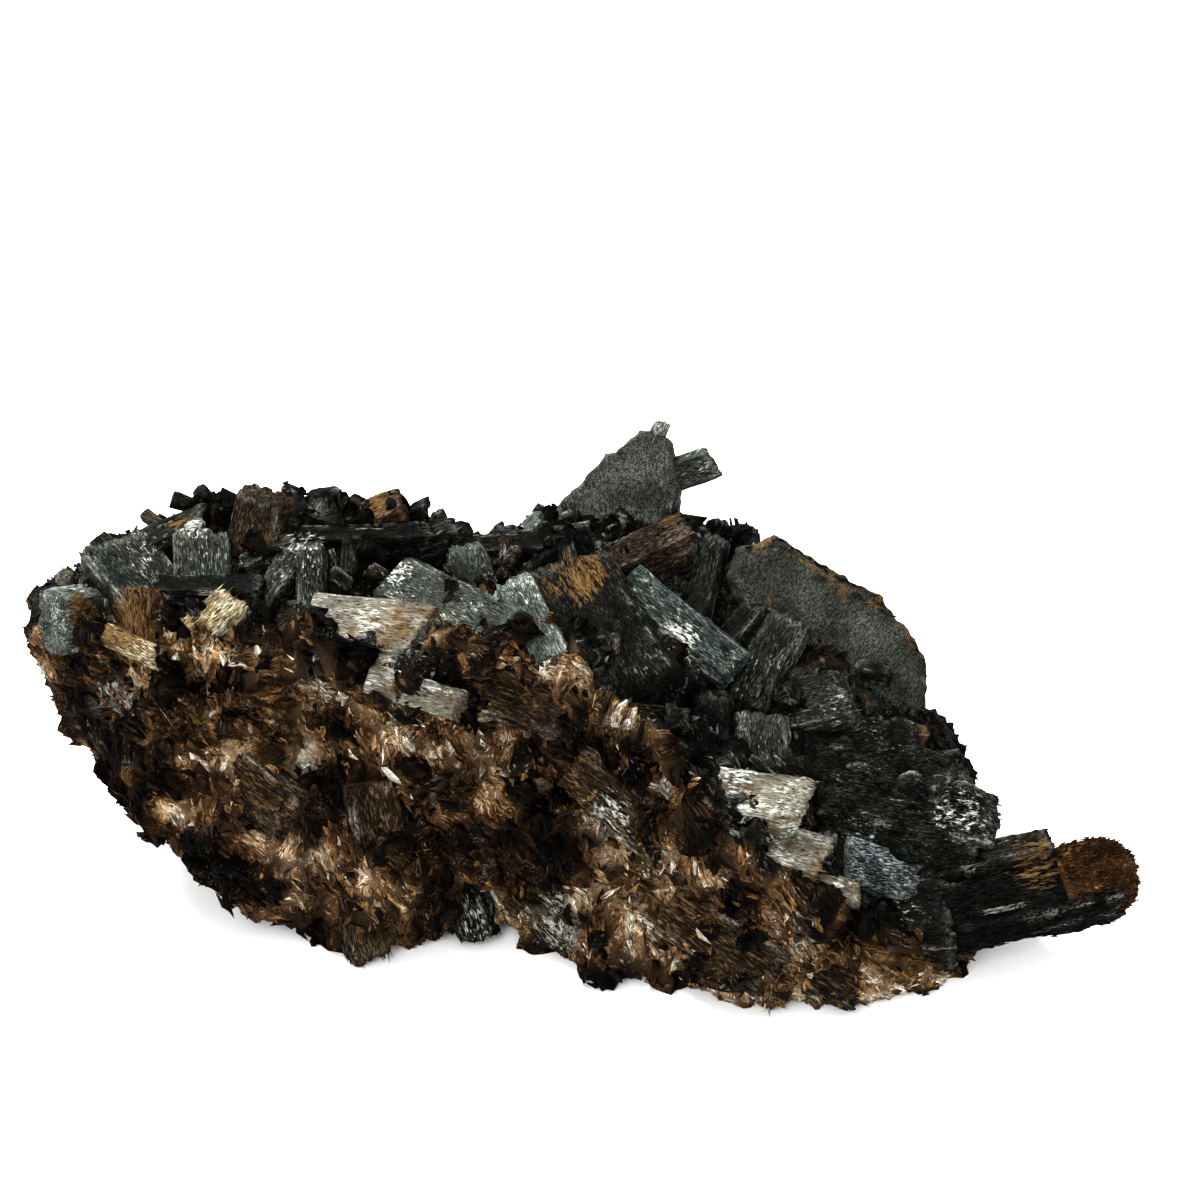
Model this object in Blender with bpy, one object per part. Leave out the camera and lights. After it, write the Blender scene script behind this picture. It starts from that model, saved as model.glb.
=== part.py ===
"""Amphibole specimen: a heap of intergrown hornblende prisms on a rusty, fibrous matrix.

The rock is laid out along X with its brown broken face towards -Y. Lengths in the
tables are millimetres; the mesh is made in metres, +Z up, resting on its flat feet.
"""
import math
import random
from collections import namedtuple

import bmesh
import bpy
from mathutils import Matrix, Vector, noise

# Driving dimensions, in millimetres
MM = 0.001
GAP = 0.3
ROCK_LEFT = -84.0
ROCK_RIGHT = 55.0
RING_STEP = 5.0
BLUNT_END = 3.3
FLAT_ALLOWANCE = 1.6
BED_LIP = 1.2
BED_DEPTH = 5.0
SLAB_THICKNESS = 5.5
BLADE_THICKNESS = 5.0
LAYER_THICKNESS = 2.6
LAYER_DEPTH = 1.5

# Roughness of the broken rock, and the section height from which it is given in full
ROCK_LUMPS = 1.7
ROCK_LEDGES = 0.9
LUMP_SIZE = 15.0
LEDGE_SIZE = 7.5
FULL_ROUGHNESS_HEIGHT = 28.0

# Forms of the brown face: where they are along X, how wide and how deep
HOLLOW_X, HOLLOW_WIDTH, HOLLOW_DEPTH = -50.0, 13.0, 2.6
CREVICE_X, CREVICE_WIDTH, CREVICE_DEPTH = -24.5, 2.4, 5.0
CAST_X, CAST_WIDTH, CAST_RISE = -32.0, 4.0, 1.8
FACE_LOW, FACE_HIGH, FACE_BACK = 8.0, 36.0, -10.0

# How far the spaces that part the bed from the rock reach past it
REACH = 36.0
SPACE_TOP = 90.0
SPACE_BOTTOM = -40.0
SPACE_MARGIN = 50.0

# Crystals that are scattered rather than placed, and the stretch of X that they cover
SMALL_CRYSTALS = 12
SMALL_SPAN = (-78.0, 46.0)
BACK_CRYSTALS = 15
BACK_SPAN = (-79.0, 48.0)
EIGHT_SIDED_WIDTH = 8.0
BLUNT_WIDTH = 5.5
SEED = 11

# One cross-section of the rock: its foot and heel are the front and back edges of the
# underside, its ridge is where the brown face meets the dark crystals, and its crest
# is the top of the crystal heap.
Station = namedtuple("Station", "x foot_y foot_z ridge_y ridge_z crest_y crest_z back_y heel_z")
STATIONS = (
    Station(-84, -2.0, 34, -3, 40.0, 7, 44, 18, 31),
    Station(-77, -9.0, 25, -5, 41.5, 10, 47, 21, 23),
    Station(-68, -18.5, 16, -8, 41.5, 14, 51, 26, 15),
    Station(-59, -20.0, 10.5, -12, 43, 14, 53, 29, 8),
    Station(-50, -23.0, 5.5, -13, 43.5, 15, 54, 31, 3),
    Station(-41, -26.5, 0.8, -14, 44, 18, 51, 33, 0),
    Station(-34, -29.0, 0, -19, 42.0, 19, 50, 34, 0),
    Station(-28, -25.0, 3.5, -20, 42.5, 19, 47, 34, 0),
    Station(-22, -24.0, 3, -15.5, 46, 19, 47, 34, 0),
    Station(-15, -23.5, 3, -16.5, 46, 18, 47, 34, 0),
    Station(-8, -27.5, 0, -16, 46.0, 17, 48, 34, 0),
    Station(0, -32.0, 0, -21, 41.0, 17, 49, 33, 0),
    Station(8, -33.5, 0, -23.5, 37, 17, 49, 32, 0),
    Station(16, -38.0, 0, -32, 26.0, 16, 48, 31, 0),
    Station(24, -42.5, 0, -34.5, 20, 15, 47, 30, 0),
    Station(32, -42.0, 0, -35.5, 15, 11, 44, 28, 0),
    Station(40, -40.5, 0, -36, 9.5, 6, 38, 24, 0),
    Station(48, -37.5, 0, -35, 7.0, 0, 28, 18, 0),
    Station(55, -31.0, 0, -26, 9.0, -10, 21, 9, 0),
)

# One prism: the middle of its buried foot, the middle of its free tip, the width of its
# broad faces, its thickness, and how far the broad face rolls towards the viewer.
Crystal = namedtuple("Crystal", "name foot tip width thickness roll")
CRYSTALS = (
    Crystal("end_block", (-71, 4, 42), (-83, 1, 41), 9, 8, 10),
    Crystal("broad_left", (-66, -3, 44), (-75, 9, 48), 12, 8, 5),
    Crystal("left_knob", (-70, 10, 47), (-60, 11, 51), 8, 8, 0),
    Crystal("pale_block", (-60, 0, 45), (-61, 8, 51), 10, 7, 0),
    Crystal("left_bar", (-67, 0, 46), (-50, -3, 48), 6, 6, 10),
    Crystal("rust_knob", (-70, -3, 42), (-70, 1, 49), 6, 6, 20),
    Crystal("white_blade", (-77, 0, 42), (-64, -10, 42), 5, 4, 30),
    Crystal("cream_tuft", (-61, -8, 43), (-54, -3, 48), 5, 4, 20),
    Crystal("brown_peak", (-53, 7, 48), (-51, 13, 56.5), 9, 8, 0),
    Crystal("peak_shoulder", (-57, 9, 47), (-47, 13, 52), 8, 7, 0),
    Crystal("rust_chunk", (-41, 14, 47), (-30, 17, 51), 8, 7, 0),
    Crystal("chunk_nub", (-34, 16, 48), (-26.5, 18, 51), 4, 4, 0),
    Crystal("upright_pair", (-43, -15, 42), (-44, 5, 51), 6, 6, 0),
    Crystal("slanted_pair", (-53, -9, 44), (-46, 5, 51), 6, 5, 0),
    Crystal("pair_shoulder", (-54, 3, 49), (-46, 6, 52), 5, 4, 0),
    Crystal("long_ledge", (-50, 8, 50), (-26, 12, 48.5), 6, 6, 10),
    Crystal("ledge_end", (-33, 10, 46), (-22, 14, 48.5), 7, 6, 0),
    Crystal("small_black_left", (-26, 12, 45), (-20, 14, 49), 5, 5, 0),
    Crystal("small_black_right", (-19, 11, 45), (-14, 14, 49.5), 5, 4, 0),
    Crystal("black_bar", (-21, 11, 46), (-3, 10, 48), 7, 7, 10),
    Crystal("knuckle", (-16, -4, 44), (-21, 7, 50.5), 7, 7, 0),
    Crystal("smooth_grey", (-31, 2, 46), (-13, -14, 47), 11, 8, 20),
    Crystal("white_block", (-42, -7, 44), (-25, -15, 46), 7, 6, 30),
    Crystal("pink_block", (-40, -11, 42), (-27, -17, 43), 6, 6, 40),
    Crystal("white_tail", (-34, -15, 41), (-22, -19, 41), 5, 5, 40),
    Crystal("centre_block", (5, -17, 37), (-7, 3, 47.5), 18, 14, 20),
    Crystal("centre_wing", (-7, -16, 43), (-13, -2, 48), 8, 8, 10),
    Crystal("back_block", (1, 8, 44), (14, 12, 49), 9, 9, 10),
    Crystal("teal_prism", (4, 4, 45.5), (21, -8, 37), 8, 7, 25),
    Crystal("black_cube", (18, -3, 36), (25, 3, 42), 7, 6, 0),
    Crystal("dark_blade", (14, -2, 41), (18, 11, 49), 6, 5, 0),
    Crystal("striped_block", (26, -9, 30), (38.5, -8, 32.5), 10, 8, 30),
    Crystal("dark_rhomb", (22, -10, 32), (29, 1, 41), 8, 6, 10),
    Crystal("black_column", (17, -26, 24), (17, -12, 36), 7, 7, 0),
    Crystal("striated_bar", (-2, -22, 39), (13, -18, 35), 6, 5, 40),
    Crystal("grey_block", (24, -24, 22), (24, -13, 33), 10, 8, 5),
    Crystal("speckled_mass", (16, -27, 24), (29, -26, 23), 9, 7, 20),
    Crystal("white_knob", (23, -31, 18), (31, -30, 19), 7, 6, 20),
    Crystal("round_knob", (33, -29, 15), (34, -26, 21), 4, 4, 0),
    Crystal("white_wedge", (25, -34, 15), (37, -31, 14), 5, 5, 30),
    Crystal("fan_low", (33, -22, 19), (58, -24, 15.5), 9, 7, 20),
    Crystal("fan_middle", (31, -19, 23), (60, -20, 17.5), 11, 7, 30),
    Crystal("fan_upper", (30, -16, 26), (54, -14, 21.5), 10, 7, 25),
    Crystal("fan_top", (30, -13, 28), (49, -9, 24), 8, 6, 15),
    Crystal("rust_seam", (37, -10, 26), (50, -6, 23.5), 5, 5, 0),
    Crystal("blue_block", (36, -29, 17), (47, -27, 12), 9, 6, 35),
    Crystal("black_end", (47, -26, 12), (67.5, -25, 17), 7, 6, 10),
    Crystal("black_foot", (41, -30, 7), (53, -32, 8), 13, 11, 20),
    Crystal("pale_wedge", (-14, 16, 43), (-8, 17, 49), 6, 5, 0),
)

# Lumps and plates of the brown face, which are part of the rock itself.
ROCK_PIECES = (
    Crystal("cast_plate", (-35, -22, 27), (-31, -27, 9), 8, 4, 30),
    Crystal("diagonal_plate", (-40, -24, 10), (-28, -26, 14), 7, 4, 60),
    Crystal("lobe_tip", (-37, -24, 8), (-34, -30, 0.5), 8, 6, 0),
    Crystal("hanging_nub", (-22, -20, 10), (-18, -26, 1), 7, 5, 40),
    Crystal("white_shoulder", (-12, -22, 8), (-3, -29, 4), 9, 6, 40),
    Crystal("lobe_ledge", (-66, -14, 24), (-58, -20, 13), 8, 5, 50),
    Crystal("lobe_corner", (-75, -5, 34), (-71, -13, 22), 8, 5, 50),
    Crystal("middle_ledge", (-58, -14, 27), (-45, -24, 22), 9, 5, 60),
    Crystal("brown_ridge", (-24, -14, 42), (-5, -21, 38), 9, 5, 50),
    Crystal("brown_step", (-4, -22, 30), (10, -30, 22), 8, 5, 60),
    Crystal("toe_ledge", (10, -33, 12), (26, -42, 6), 9, 5, 50),
    Crystal("toe_corner", (28, -38, 6), (38, -42, 2), 7, 5, 30),
    Crystal("back_step", (42, 6, 13), (55, 12, 5), 9, 7, 30),
    Crystal("back_corner", (50, -8, 13), (61, -4, 6), 8, 7, 20),
    Crystal("back_ledge", (10, 26, 24), (26, 35, 20), 10, 8, 20),
    Crystal("back_shelf", (-40, 28, 22), (-22, 37, 20), 10, 8, 30),
)

# The two plates stand on their own planes: a middle point, the direction of the outline's
# first coordinate, the direction of its second, and the outline itself.
SLAB_MIDDLE = (3.0, 20.0, 53.2)
SLAB_ACROSS = (1.0, -0.085, 0.053)
SLAB_UP = (0.0, 0.484, 0.877)
SLAB_OUTLINE = (
    (-11.5, -5), (-9, -1.5), (-7, 0), (-4.5, 3.2), (-2.3, 5.5), (-0.8, 5.8), (3, 9.2),
    (5.4, 9.2), (8, 7.6), (8.6, 5), (9.2, 3), (9.6, 0), (9, -5), (10, -11), (-1, -14), (-10, -10),
)
TWIN = Crystal("twin", (5, 22, 52), (18, 23, 56.5), 6.5, 4.5, 70)
SLAB_NUB = Crystal("nub", (8, 24, 58), (10.3, 25.3, 62.8), 2.2, 2.2, 0)

BLADE_MIDDLE = (38.4, 2.0, 37.0)
BLADE_ALONG = (0.78, -0.181, -0.618)
BLADE_UP = (0.594, 0.584, 0.579)
BLADE_OUTLINE = (
    (-22, 1), (-19, 5), (-13, 5.5), (-6, 6.6), (1, 7.6), (7, 7.6), (12, 5.6), (15, 2.2),
    (17.3, -4), (13, -10), (0, -12), (-13, -8), (-21, -4),
)
BLADE_LAYER = ((-20, 2), (-18.5, 6), (-12, 7), (-5, 8), (1, 9), (5, 8), (2, 5), (-6, 3.5), (-14, 2))

TIPPED_PRISM = Crystal("tipped", (46, -32, 7.5), (77, -28, 13), 12, 9.5, 30)
TIP_STUB = Crystal("stub", (69, -29, 12.5), (79.5, -27.5, 14.5), 9.5, 9.5, 0)


def clean_scene():
    for thing in list(bpy.data.objects):
        bpy.data.objects.remove(thing, do_unlink=True)


def mix(a, b, t):
    return a + (b - a) * t


def bump(x, middle, width):
    """A smooth hump that is 1 at the middle and nearly 0 two widths away."""
    return math.exp(-(((x - middle) / width) ** 2))


def station_at(x):
    """The cross-section at x, between the two stations on either side of it."""
    x = min(max(x, STATIONS[0].x), STATIONS[-1].x)
    for left, right in zip(STATIONS, STATIONS[1:]):
        if x <= right.x:
            t = (x - left.x) / (right.x - left.x)
            return Station(*(mix(a, b, t) for a, b in zip(left, right)))
    return STATIONS[-1]


def hollow_depth(x):
    """How far the brown face draws back under the crystals, most in the left lobe."""
    return HOLLOW_DEPTH * bump(x, HOLLOW_X, HOLLOW_WIDTH) + 0.8


def rock_section(s):
    """Corners of the rock's cross-section in the YZ plane, with the steps of each edge."""
    grounded = s.foot_z < 1.0 and s.heel_z < 1.0
    ground = FLAT_ALLOWANCE if grounded else 0.0
    return (
        (s.foot_y, s.foot_z, 3),
        (mix(s.foot_y, s.ridge_y, 0.2) - 1.8, mix(s.foot_z, s.ridge_z, 0.28), 3),
        (mix(s.foot_y, s.ridge_y, 0.5) + 0.4, mix(s.foot_z, s.ridge_z, 0.58), 2),
        (mix(s.foot_y, s.ridge_y, 0.85) + hollow_depth(s.x), mix(s.foot_z, s.ridge_z, 0.84), 2),
        (s.ridge_y - BED_LIP, s.ridge_z, 1),
        (s.ridge_y + 1.5, s.ridge_z + 1.8, 3),
        (mix(s.ridge_y, s.crest_y, 0.4), mix(s.ridge_z, s.crest_z, 0.4) - 1, 3),
        (mix(s.ridge_y, s.crest_y, 0.8), mix(s.ridge_z, s.crest_z, 0.8) - 1, 1),
        (s.crest_y, s.crest_z - 1.6, 2),
        (mix(s.crest_y, s.back_y, 0.55), mix(s.crest_z, s.heel_z, 0.12) - 1, 3),
        (s.back_y + 1.5, mix(s.crest_z, s.heel_z, 0.42), 3),
        (s.back_y, mix(s.crest_z, s.heel_z, 0.88), 1),
        (s.back_y - 4, s.heel_z - ground, 3),
        (mix(s.foot_y, s.back_y, 0.55), mix(s.foot_z, s.heel_z, 0.5) - ground, 3),
        (mix(s.foot_y, s.back_y, 0.2), mix(s.foot_z, s.heel_z, 0.2) - ground, 2),
    )


def parting_line(s):
    """Where the dark bed ends and the brown rock starts, from the front to the back."""
    back_z = mix(s.crest_z, s.heel_z, 0.36)
    return (
        (s.ridge_y - REACH, s.ridge_z - REACH, 1),
        (s.ridge_y, s.ridge_z - 0.8, 1),
        (mix(s.ridge_y, s.crest_y, 0.4), mix(s.ridge_z, s.crest_z, 0.4) - BED_DEPTH, 1),
        (s.crest_y, s.crest_z - BED_DEPTH - 2, 1),
        (s.back_y, back_z, 1),
        (s.back_y + REACH, back_z + 6, 1),
    )


def upper_section(s):
    """Outline of the space above the parting line."""
    return (*parting_line(s), (s.back_y + REACH, SPACE_TOP, 1), (s.ridge_y - REACH, SPACE_TOP, 1))


def lower_section(s):
    """Outline of the space below the parting line."""
    return (*parting_line(s), (s.back_y + REACH, SPACE_BOTTOM, 1), (s.ridge_y - REACH, SPACE_BOTTOM, 1))


def ring_points(corners):
    """The points around a section, with each of its edges cut into its steps."""
    points = []
    for here, there in zip(corners, corners[1:] + corners[:1]):
        for step in range(here[2]):
            t = step / here[2]
            points.append((mix(here[0], there[0], t), mix(here[1], there[1], t)))
    return points


def loft(section, places, end_shrink=1.0, end_shift=0.0):
    """A closed body through the cross-sections at the places, with blunt ends."""
    mesh = bmesh.new()
    rings = []
    for x in places:
        rings.append([Vector((x, y, z)) for y, z in ring_points(section(station_at(x)))])
    if end_shift:
        for ring, outward in ((rings[0], -1), (rings[-1], 1)):
            middle = sum(ring, Vector()) / len(ring)
            shift = Vector((outward * end_shift, 0, 0))
            cap = [middle + (point - middle) * end_shrink + shift for point in ring]
            rings.insert(0 if outward < 0 else len(rings), cap)
    layers = [[mesh.verts.new(point * MM) for point in ring] for ring in rings]
    for near, far in zip(layers, layers[1:]):
        for i, vert in enumerate(near):
            j = (i + 1) % len(near)
            mesh.faces.new((vert, near[j], far[j], far[i]))
    for layer in (layers[0], layers[-1]):
        middle = mesh.verts.new(sum((v.co for v in layer), Vector()) / len(layer))
        for i, vert in enumerate(layer):
            mesh.faces.new((vert, layer[(i + 1) % len(layer)], middle))
    bmesh.ops.recalc_face_normals(mesh, faces=mesh.faces)
    return mesh


def finish_mesh(name, mesh):
    bmesh.ops.triangulate(mesh, faces=mesh.faces, ngon_method="EAR_CLIP")
    data = bpy.data.meshes.new(name)
    mesh.normal_update()
    mesh.to_mesh(data)
    mesh.free()
    thing = bpy.data.objects.new(name, data)
    bpy.context.collection.objects.link(thing)
    return thing


def cell_height(point, size):
    """A number from -1 to 1 that is the same all over one broken-off cell of the rock."""
    _, corners = noise.voronoi(point / size)
    return noise.cell(corners[0] * 9.7) * 2 - 1


def roughen(mesh):
    """Moves corners along their normals by lumps and stepped ledges, less where it is thin."""
    mesh.normal_update()
    moves = []
    for vert in mesh.verts:
        point = vert.co / MM
        push = noise.fractal(point / LUMP_SIZE, 0.9, 2.1, 3) * ROCK_LUMPS
        push += cell_height(point, LEDGE_SIZE) * ROCK_LEDGES
        s = station_at(point.x)
        calm = min(1.0, (s.ridge_z - s.foot_z) / FULL_ROUGHNESS_HEIGHT)
        moves.append(vert.normal * (push * calm))
    for vert, move in zip(mesh.verts, moves):
        vert.co += move * MM
        vert.co.z = max(vert.co.z, 0.0)
    bmesh.ops.triangulate(mesh, faces=mesh.faces)


def press_crevice_and_cast(mesh):
    """Presses the dark upright crevice of the brown face in, and its smooth cast out."""
    for vert in mesh.verts:
        x, y, z = vert.co / MM
        if y < FACE_BACK and FACE_LOW < z < FACE_HIGH:
            fade = math.sin(math.pi * (z - FACE_LOW) / (FACE_HIGH - FACE_LOW))
            crevice = CREVICE_DEPTH * bump(x, CREVICE_X, CREVICE_WIDTH)
            cast = CAST_RISE * bump(x, CAST_X, CAST_WIDTH)
            vert.co.y += (crevice - cast) * fade * MM


def make_rock():
    """The whole rock, brown matrix and dark bed in one, before the two are parted."""
    count = round((ROCK_RIGHT - ROCK_LEFT) / RING_STEP)
    places = [mix(ROCK_LEFT, ROCK_RIGHT, i / count) for i in range(count + 1)]
    mesh = loft(rock_section, places, end_shrink=0.6, end_shift=BLUNT_END)
    press_crevice_and_cast(mesh)
    roughen(mesh)
    rock = finish_mesh("matrix", mesh)
    lumps = [prism(row) for row in ROCK_PIECES]
    for lump in lumps:
        for vert in lump.data.vertices:
            vert.co.z = max(vert.co.z, 0.0)
    combine(rock, lumps, "UNION")
    drop(lumps)
    return rock


def make_space(section, lowering):
    """The space above or below the bed's lower surface, moved down by a clearance."""
    places = [ROCK_LEFT - SPACE_MARGIN, *(s.x for s in STATIONS), ROCK_RIGHT + SPACE_MARGIN]
    space = finish_mesh("space", loft(section, places))
    for vert in space.data.vertices:
        vert.co.z -= lowering * MM
    space.hide_render = True
    space.display_type = "WIRE"
    return space


def crystal_axes(crystal):
    """Foot, unit axis, length, direction across the broad face, and that face's normal."""
    foot = Vector(crystal.foot)
    axis = Vector(crystal.tip) - foot
    length = axis.length
    axis.normalize()
    upward = Vector((0, 0, 1)) - axis * axis.z
    if upward.length < 0.2:
        upward = Vector((0, -1, 0)) - axis * -axis.y
    upward.normalize()
    side = axis.cross(upward)
    if side.y > 0:
        side = -side
    angle = math.radians(crystal.roll)
    normal = upward * math.cos(angle) + side * math.sin(angle)
    return foot, axis, length, axis.cross(normal), normal


def prism(crystal):
    """A closed prism with uneven faces, worn edges and a slanted end, always the same per name."""
    rng = random.Random(crystal.name)
    foot, axis, length, across, normal = crystal_axes(crystal)
    half_w, half_t = crystal.width / 2, crystal.thickness / 2
    chamfer = rng.uniform(0.12, 0.3)
    outline = ((1, 0.1), (0.7, 1), (-0.7, 1), (-1, -0.1), (-0.7, -1), (0.7, -1))
    if crystal.width >= EIGHT_SIDED_WIDTH:
        outline = (
            (1, 1 - 2 * chamfer), (1 - chamfer, 1), (chamfer - 1, 1), (-1, 1 - 2 * chamfer),
            (-1, 2 * chamfer - 1), (chamfer - 1, -1), (1 - chamfer, -1), (1, 2 * chamfer - 1),
        )
    slant_w, slant_t = rng.uniform(-0.25, 0.25), rng.uniform(-0.3, 0.3)
    # Each ring: its place along the axis, its size, and how much of the end's slant it takes
    rings = ((0.0, 0.95, 0.0), (0.9, 1.0, 0.8), (1.0, 0.8, 1.0))
    if crystal.width < BLUNT_WIDTH:
        rings = ((0.0, 0.95, 0.0), (1.0, 0.92, 1.0))
    mesh = bmesh.new()
    layers = []
    for along, scale, slant in rings:
        wobble_w, wobble_t = rng.uniform(0.95, 1.05), rng.uniform(0.95, 1.05)
        layer = []
        for a, b in outline:
            lean = slant * (a * half_w * slant_w + b * half_t * slant_t)
            point = foot + axis * (along * length + lean)
            point += across * (a * half_w * scale * wobble_w)
            point += normal * (b * half_t * scale * wobble_t)
            layer.append(mesh.verts.new(point * MM))
        layers.append(layer)
    for near, far in zip(layers, layers[1:]):
        for i in range(len(near)):
            j = (i + 1) % len(near)
            mesh.faces.new((near[i], near[j], far[j], far[i]))
    mesh.faces.new(layers[0])
    mesh.faces.new(layers[-1])
    bmesh.ops.recalc_face_normals(mesh, faces=mesh.faces)
    return finish_mesh(crystal.name, mesh)


def plate(name, middle, across, up, outline, thickness, lift=0.0):
    """A flat crystal with the given outline, standing behind its front face."""
    across, up = Vector(across).normalized(), Vector(up).normalized()
    normal = across.cross(up)
    middle = Vector(middle) + normal * lift
    mesh = bmesh.new()
    layers = []
    for depth, scale in ((0.0, 0.95), (-0.2, 1.0), (-0.8, 1.0), (-1.0, 0.94)):
        layer = []
        for u, v in outline:
            point = middle + (across * u + up * v) * scale + normal * (depth * thickness)
            layer.append(mesh.verts.new(point * MM))
        layers.append(layer)
    for near, far in zip(layers, layers[1:]):
        for i in range(len(near)):
            j = (i + 1) % len(near)
            mesh.faces.new((near[i], near[j], far[j], far[i]))
    mesh.faces.new(layers[0])
    mesh.faces.new(layers[-1])
    bmesh.ops.recalc_face_normals(mesh, faces=mesh.faces)
    return finish_mesh(name, mesh)


def surface_point(x, t):
    """A point on the crystal bed at x, from the ridge at t=0 to the crest at t=1."""
    s = station_at(x)
    return Vector((x, mix(s.ridge_y, s.crest_y, t), mix(s.ridge_z, s.crest_z, t)))


def crystal_through(name, place, lean, length, buried, width, roll):
    """A prism that passes through a place, with the given share of it below the place."""
    foot = place - lean * (length * buried)
    return Crystal(name, foot, foot + lean * length, width, width * 0.8, roll)


def small_crystals(rng):
    """Short prisms that fill the bed between the large ones, lying at odd angles."""
    rows = []
    for i in range(SMALL_CRYSTALS):
        x = mix(*SMALL_SPAN, (i + rng.random()) / SMALL_CRYSTALS)
        place = surface_point(x, rng.uniform(0.05, 0.95)) - Vector((0, 0, 1.8))
        turn = rng.uniform(0, 2 * math.pi)
        lean = Vector((math.cos(turn), math.sin(turn), rng.uniform(0.1, 0.7))).normalized()
        length, width, roll = rng.uniform(6, 10), rng.uniform(3, 5), rng.uniform(0, 60)
        rows.append(crystal_through(f"small_{i}", place, lean, length, 0.5, width, roll))
    return rows


def back_crystals(rng):
    """Prisms of the far side, fanning up and back from behind the crest."""
    rows = []
    for i in range(BACK_CRYSTALS):
        x = mix(*BACK_SPAN, (i + rng.random()) / BACK_CRYSTALS)
        s = station_at(x)
        t = rng.random()
        shoulder_z = mix(s.crest_z, s.heel_z, 0.38)
        place = Vector((x, mix(s.crest_y + 2, s.back_y, t), mix(s.crest_z - 4, shoulder_z, t)))
        lean = Vector((rng.uniform(-1.1, 1.1), rng.uniform(0.1, 0.9), rng.uniform(-0.1, 0.5)))
        length, width, roll = rng.uniform(11, 17), rng.uniform(5, 9), rng.uniform(0, 90)
        rows.append(crystal_through(f"back_{i}", place, lean.normalized(), length, 0.6, width, roll))
    return rows


def inflated(source, distance):
    """A copy whose faces stand out by the distance, used to cut a clearance."""
    mesh = bmesh.new()
    mesh.from_mesh(source.data)
    mesh.normal_update()
    for vert in mesh.verts:
        vert.co += vert.normal * vert.calc_shell_factor() * distance * MM
    cutter = finish_mesh(source.name + "_clearance", mesh)
    cutter.hide_render = True
    cutter.display_type = "WIRE"
    return cutter


def combine(target, others, operation):
    """Applies one exact Boolean of the target with every one of the others."""
    group = bpy.data.collections.new(target.name + "_" + operation.lower())
    for other in others:
        group.objects.link(other)
    step = target.modifiers.new(operation.lower(), "BOOLEAN")
    step.operation = operation
    step.operand_type = "COLLECTION"
    step.collection = group
    step.solver = "EXACT"
    graph = bpy.context.evaluated_depsgraph_get()
    result = bpy.data.meshes.new_from_object(target.evaluated_get(graph))
    target.modifiers.clear()
    target.data = result
    for other in others:
        group.objects.unlink(other)
    bpy.data.collections.remove(group)


def keep_main_body(thing):
    """Drops the crumbs that a cut leaves, also those that touch the piece along an edge."""
    mesh = bmesh.new()
    mesh.from_mesh(thing.data)
    waiting = set(mesh.faces)
    islands = []
    while waiting:
        seed = waiting.pop()
        island, border = {seed}, [seed]
        while border:
            face = border.pop()
            for edge in face.edges:
                pair = edge.link_faces
                for other in pair if len(pair) == 2 else ():
                    if other not in island:
                        island.add(other)
                        border.append(other)
        waiting -= island
        islands.append(island)
    main = max(islands, key=len)
    bmesh.ops.delete(mesh, geom=[f for f in mesh.faces if f not in main], context="FACES")
    bmesh.ops.triangulate(mesh, faces=mesh.faces, ngon_method="EAR_CLIP")
    mesh.to_mesh(thing.data)
    mesh.free()


def drop(things):
    for thing in things:
        bpy.data.objects.remove(thing, do_unlink=True)


def make_slab():
    slab = plate("leaning_slab", SLAB_MIDDLE, SLAB_ACROSS, SLAB_UP, SLAB_OUTLINE, SLAB_THICKNESS)
    additions = [prism(TWIN), prism(SLAB_NUB)]
    combine(slab, additions, "UNION")
    drop(additions)
    keep_main_body(slab)
    return slab


def make_blade():
    place = (BLADE_MIDDLE, BLADE_ALONG, BLADE_UP)
    blade = plate("broad_blade", *place, BLADE_OUTLINE, BLADE_THICKNESS)
    layer = plate("blade_layer", *place, BLADE_LAYER, LAYER_THICKNESS, lift=-LAYER_DEPTH)
    combine(blade, [layer], "UNION")
    drop([layer])
    keep_main_body(blade)
    return blade


def make_tipped_prism():
    body = prism(TIPPED_PRISM)
    stub = prism(TIP_STUB)
    combine(body, [stub], "UNION")
    drop([stub])
    keep_main_body(body)
    body.name = "rust_tipped_prism"
    return body


def make_cluster(rock, free_crystals):
    """The bed and all that grows from it, cut clear of the rock and the free crystals."""
    rng = random.Random(SEED)
    bed = rock.copy()
    bed.data = rock.data.copy()
    bpy.context.collection.objects.link(bed)
    prisms = [prism(row) for row in (*CRYSTALS, *small_crystals(rng), *back_crystals(rng))]
    combine(bed, prisms, "UNION")
    cutters = [make_space(lower_section, 0.0), *(inflated(piece, GAP) for piece in free_crystals)]
    combine(bed, cutters, "DIFFERENCE")
    drop([*prisms, *cutters])
    keep_main_body(bed)
    bed.name = "crystal_cluster"
    return bed


def part_from_cluster(rock, free_crystals):
    """Leaves of the rock what is below the bed and clear of the free crystals."""
    cutters = [make_space(upper_section, GAP), *(inflated(piece, GAP) for piece in free_crystals)]
    combine(rock, cutters, "DIFFERENCE")
    drop(cutters)
    keep_main_body(rock)


def material(name, colour, roughness):
    finish = bpy.data.materials.new(name)
    finish.use_nodes = True
    shader = finish.node_tree.nodes["Principled BSDF"]
    shader.inputs["Base Color"].default_value = (*colour, 1.0)
    shader.inputs["Roughness"].default_value = roughness
    shader.inputs["Metallic"].default_value = 0.0
    return finish


def centre_on_floor(pieces):
    """Shifts every mesh so that the origin is under the middle of the specimen."""
    corners = [vert.co for piece in pieces for vert in piece.data.vertices]
    middle_x = (min(c.x for c in corners) + max(c.x for c in corners)) / 2
    middle_y = (min(c.y for c in corners) + max(c.y for c in corners)) / 2
    lowest = min(c.z for c in corners)
    shift = Matrix.Translation((-middle_x, -middle_y, -lowest))
    for piece in pieces:
        piece.data.transform(shift)


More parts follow.
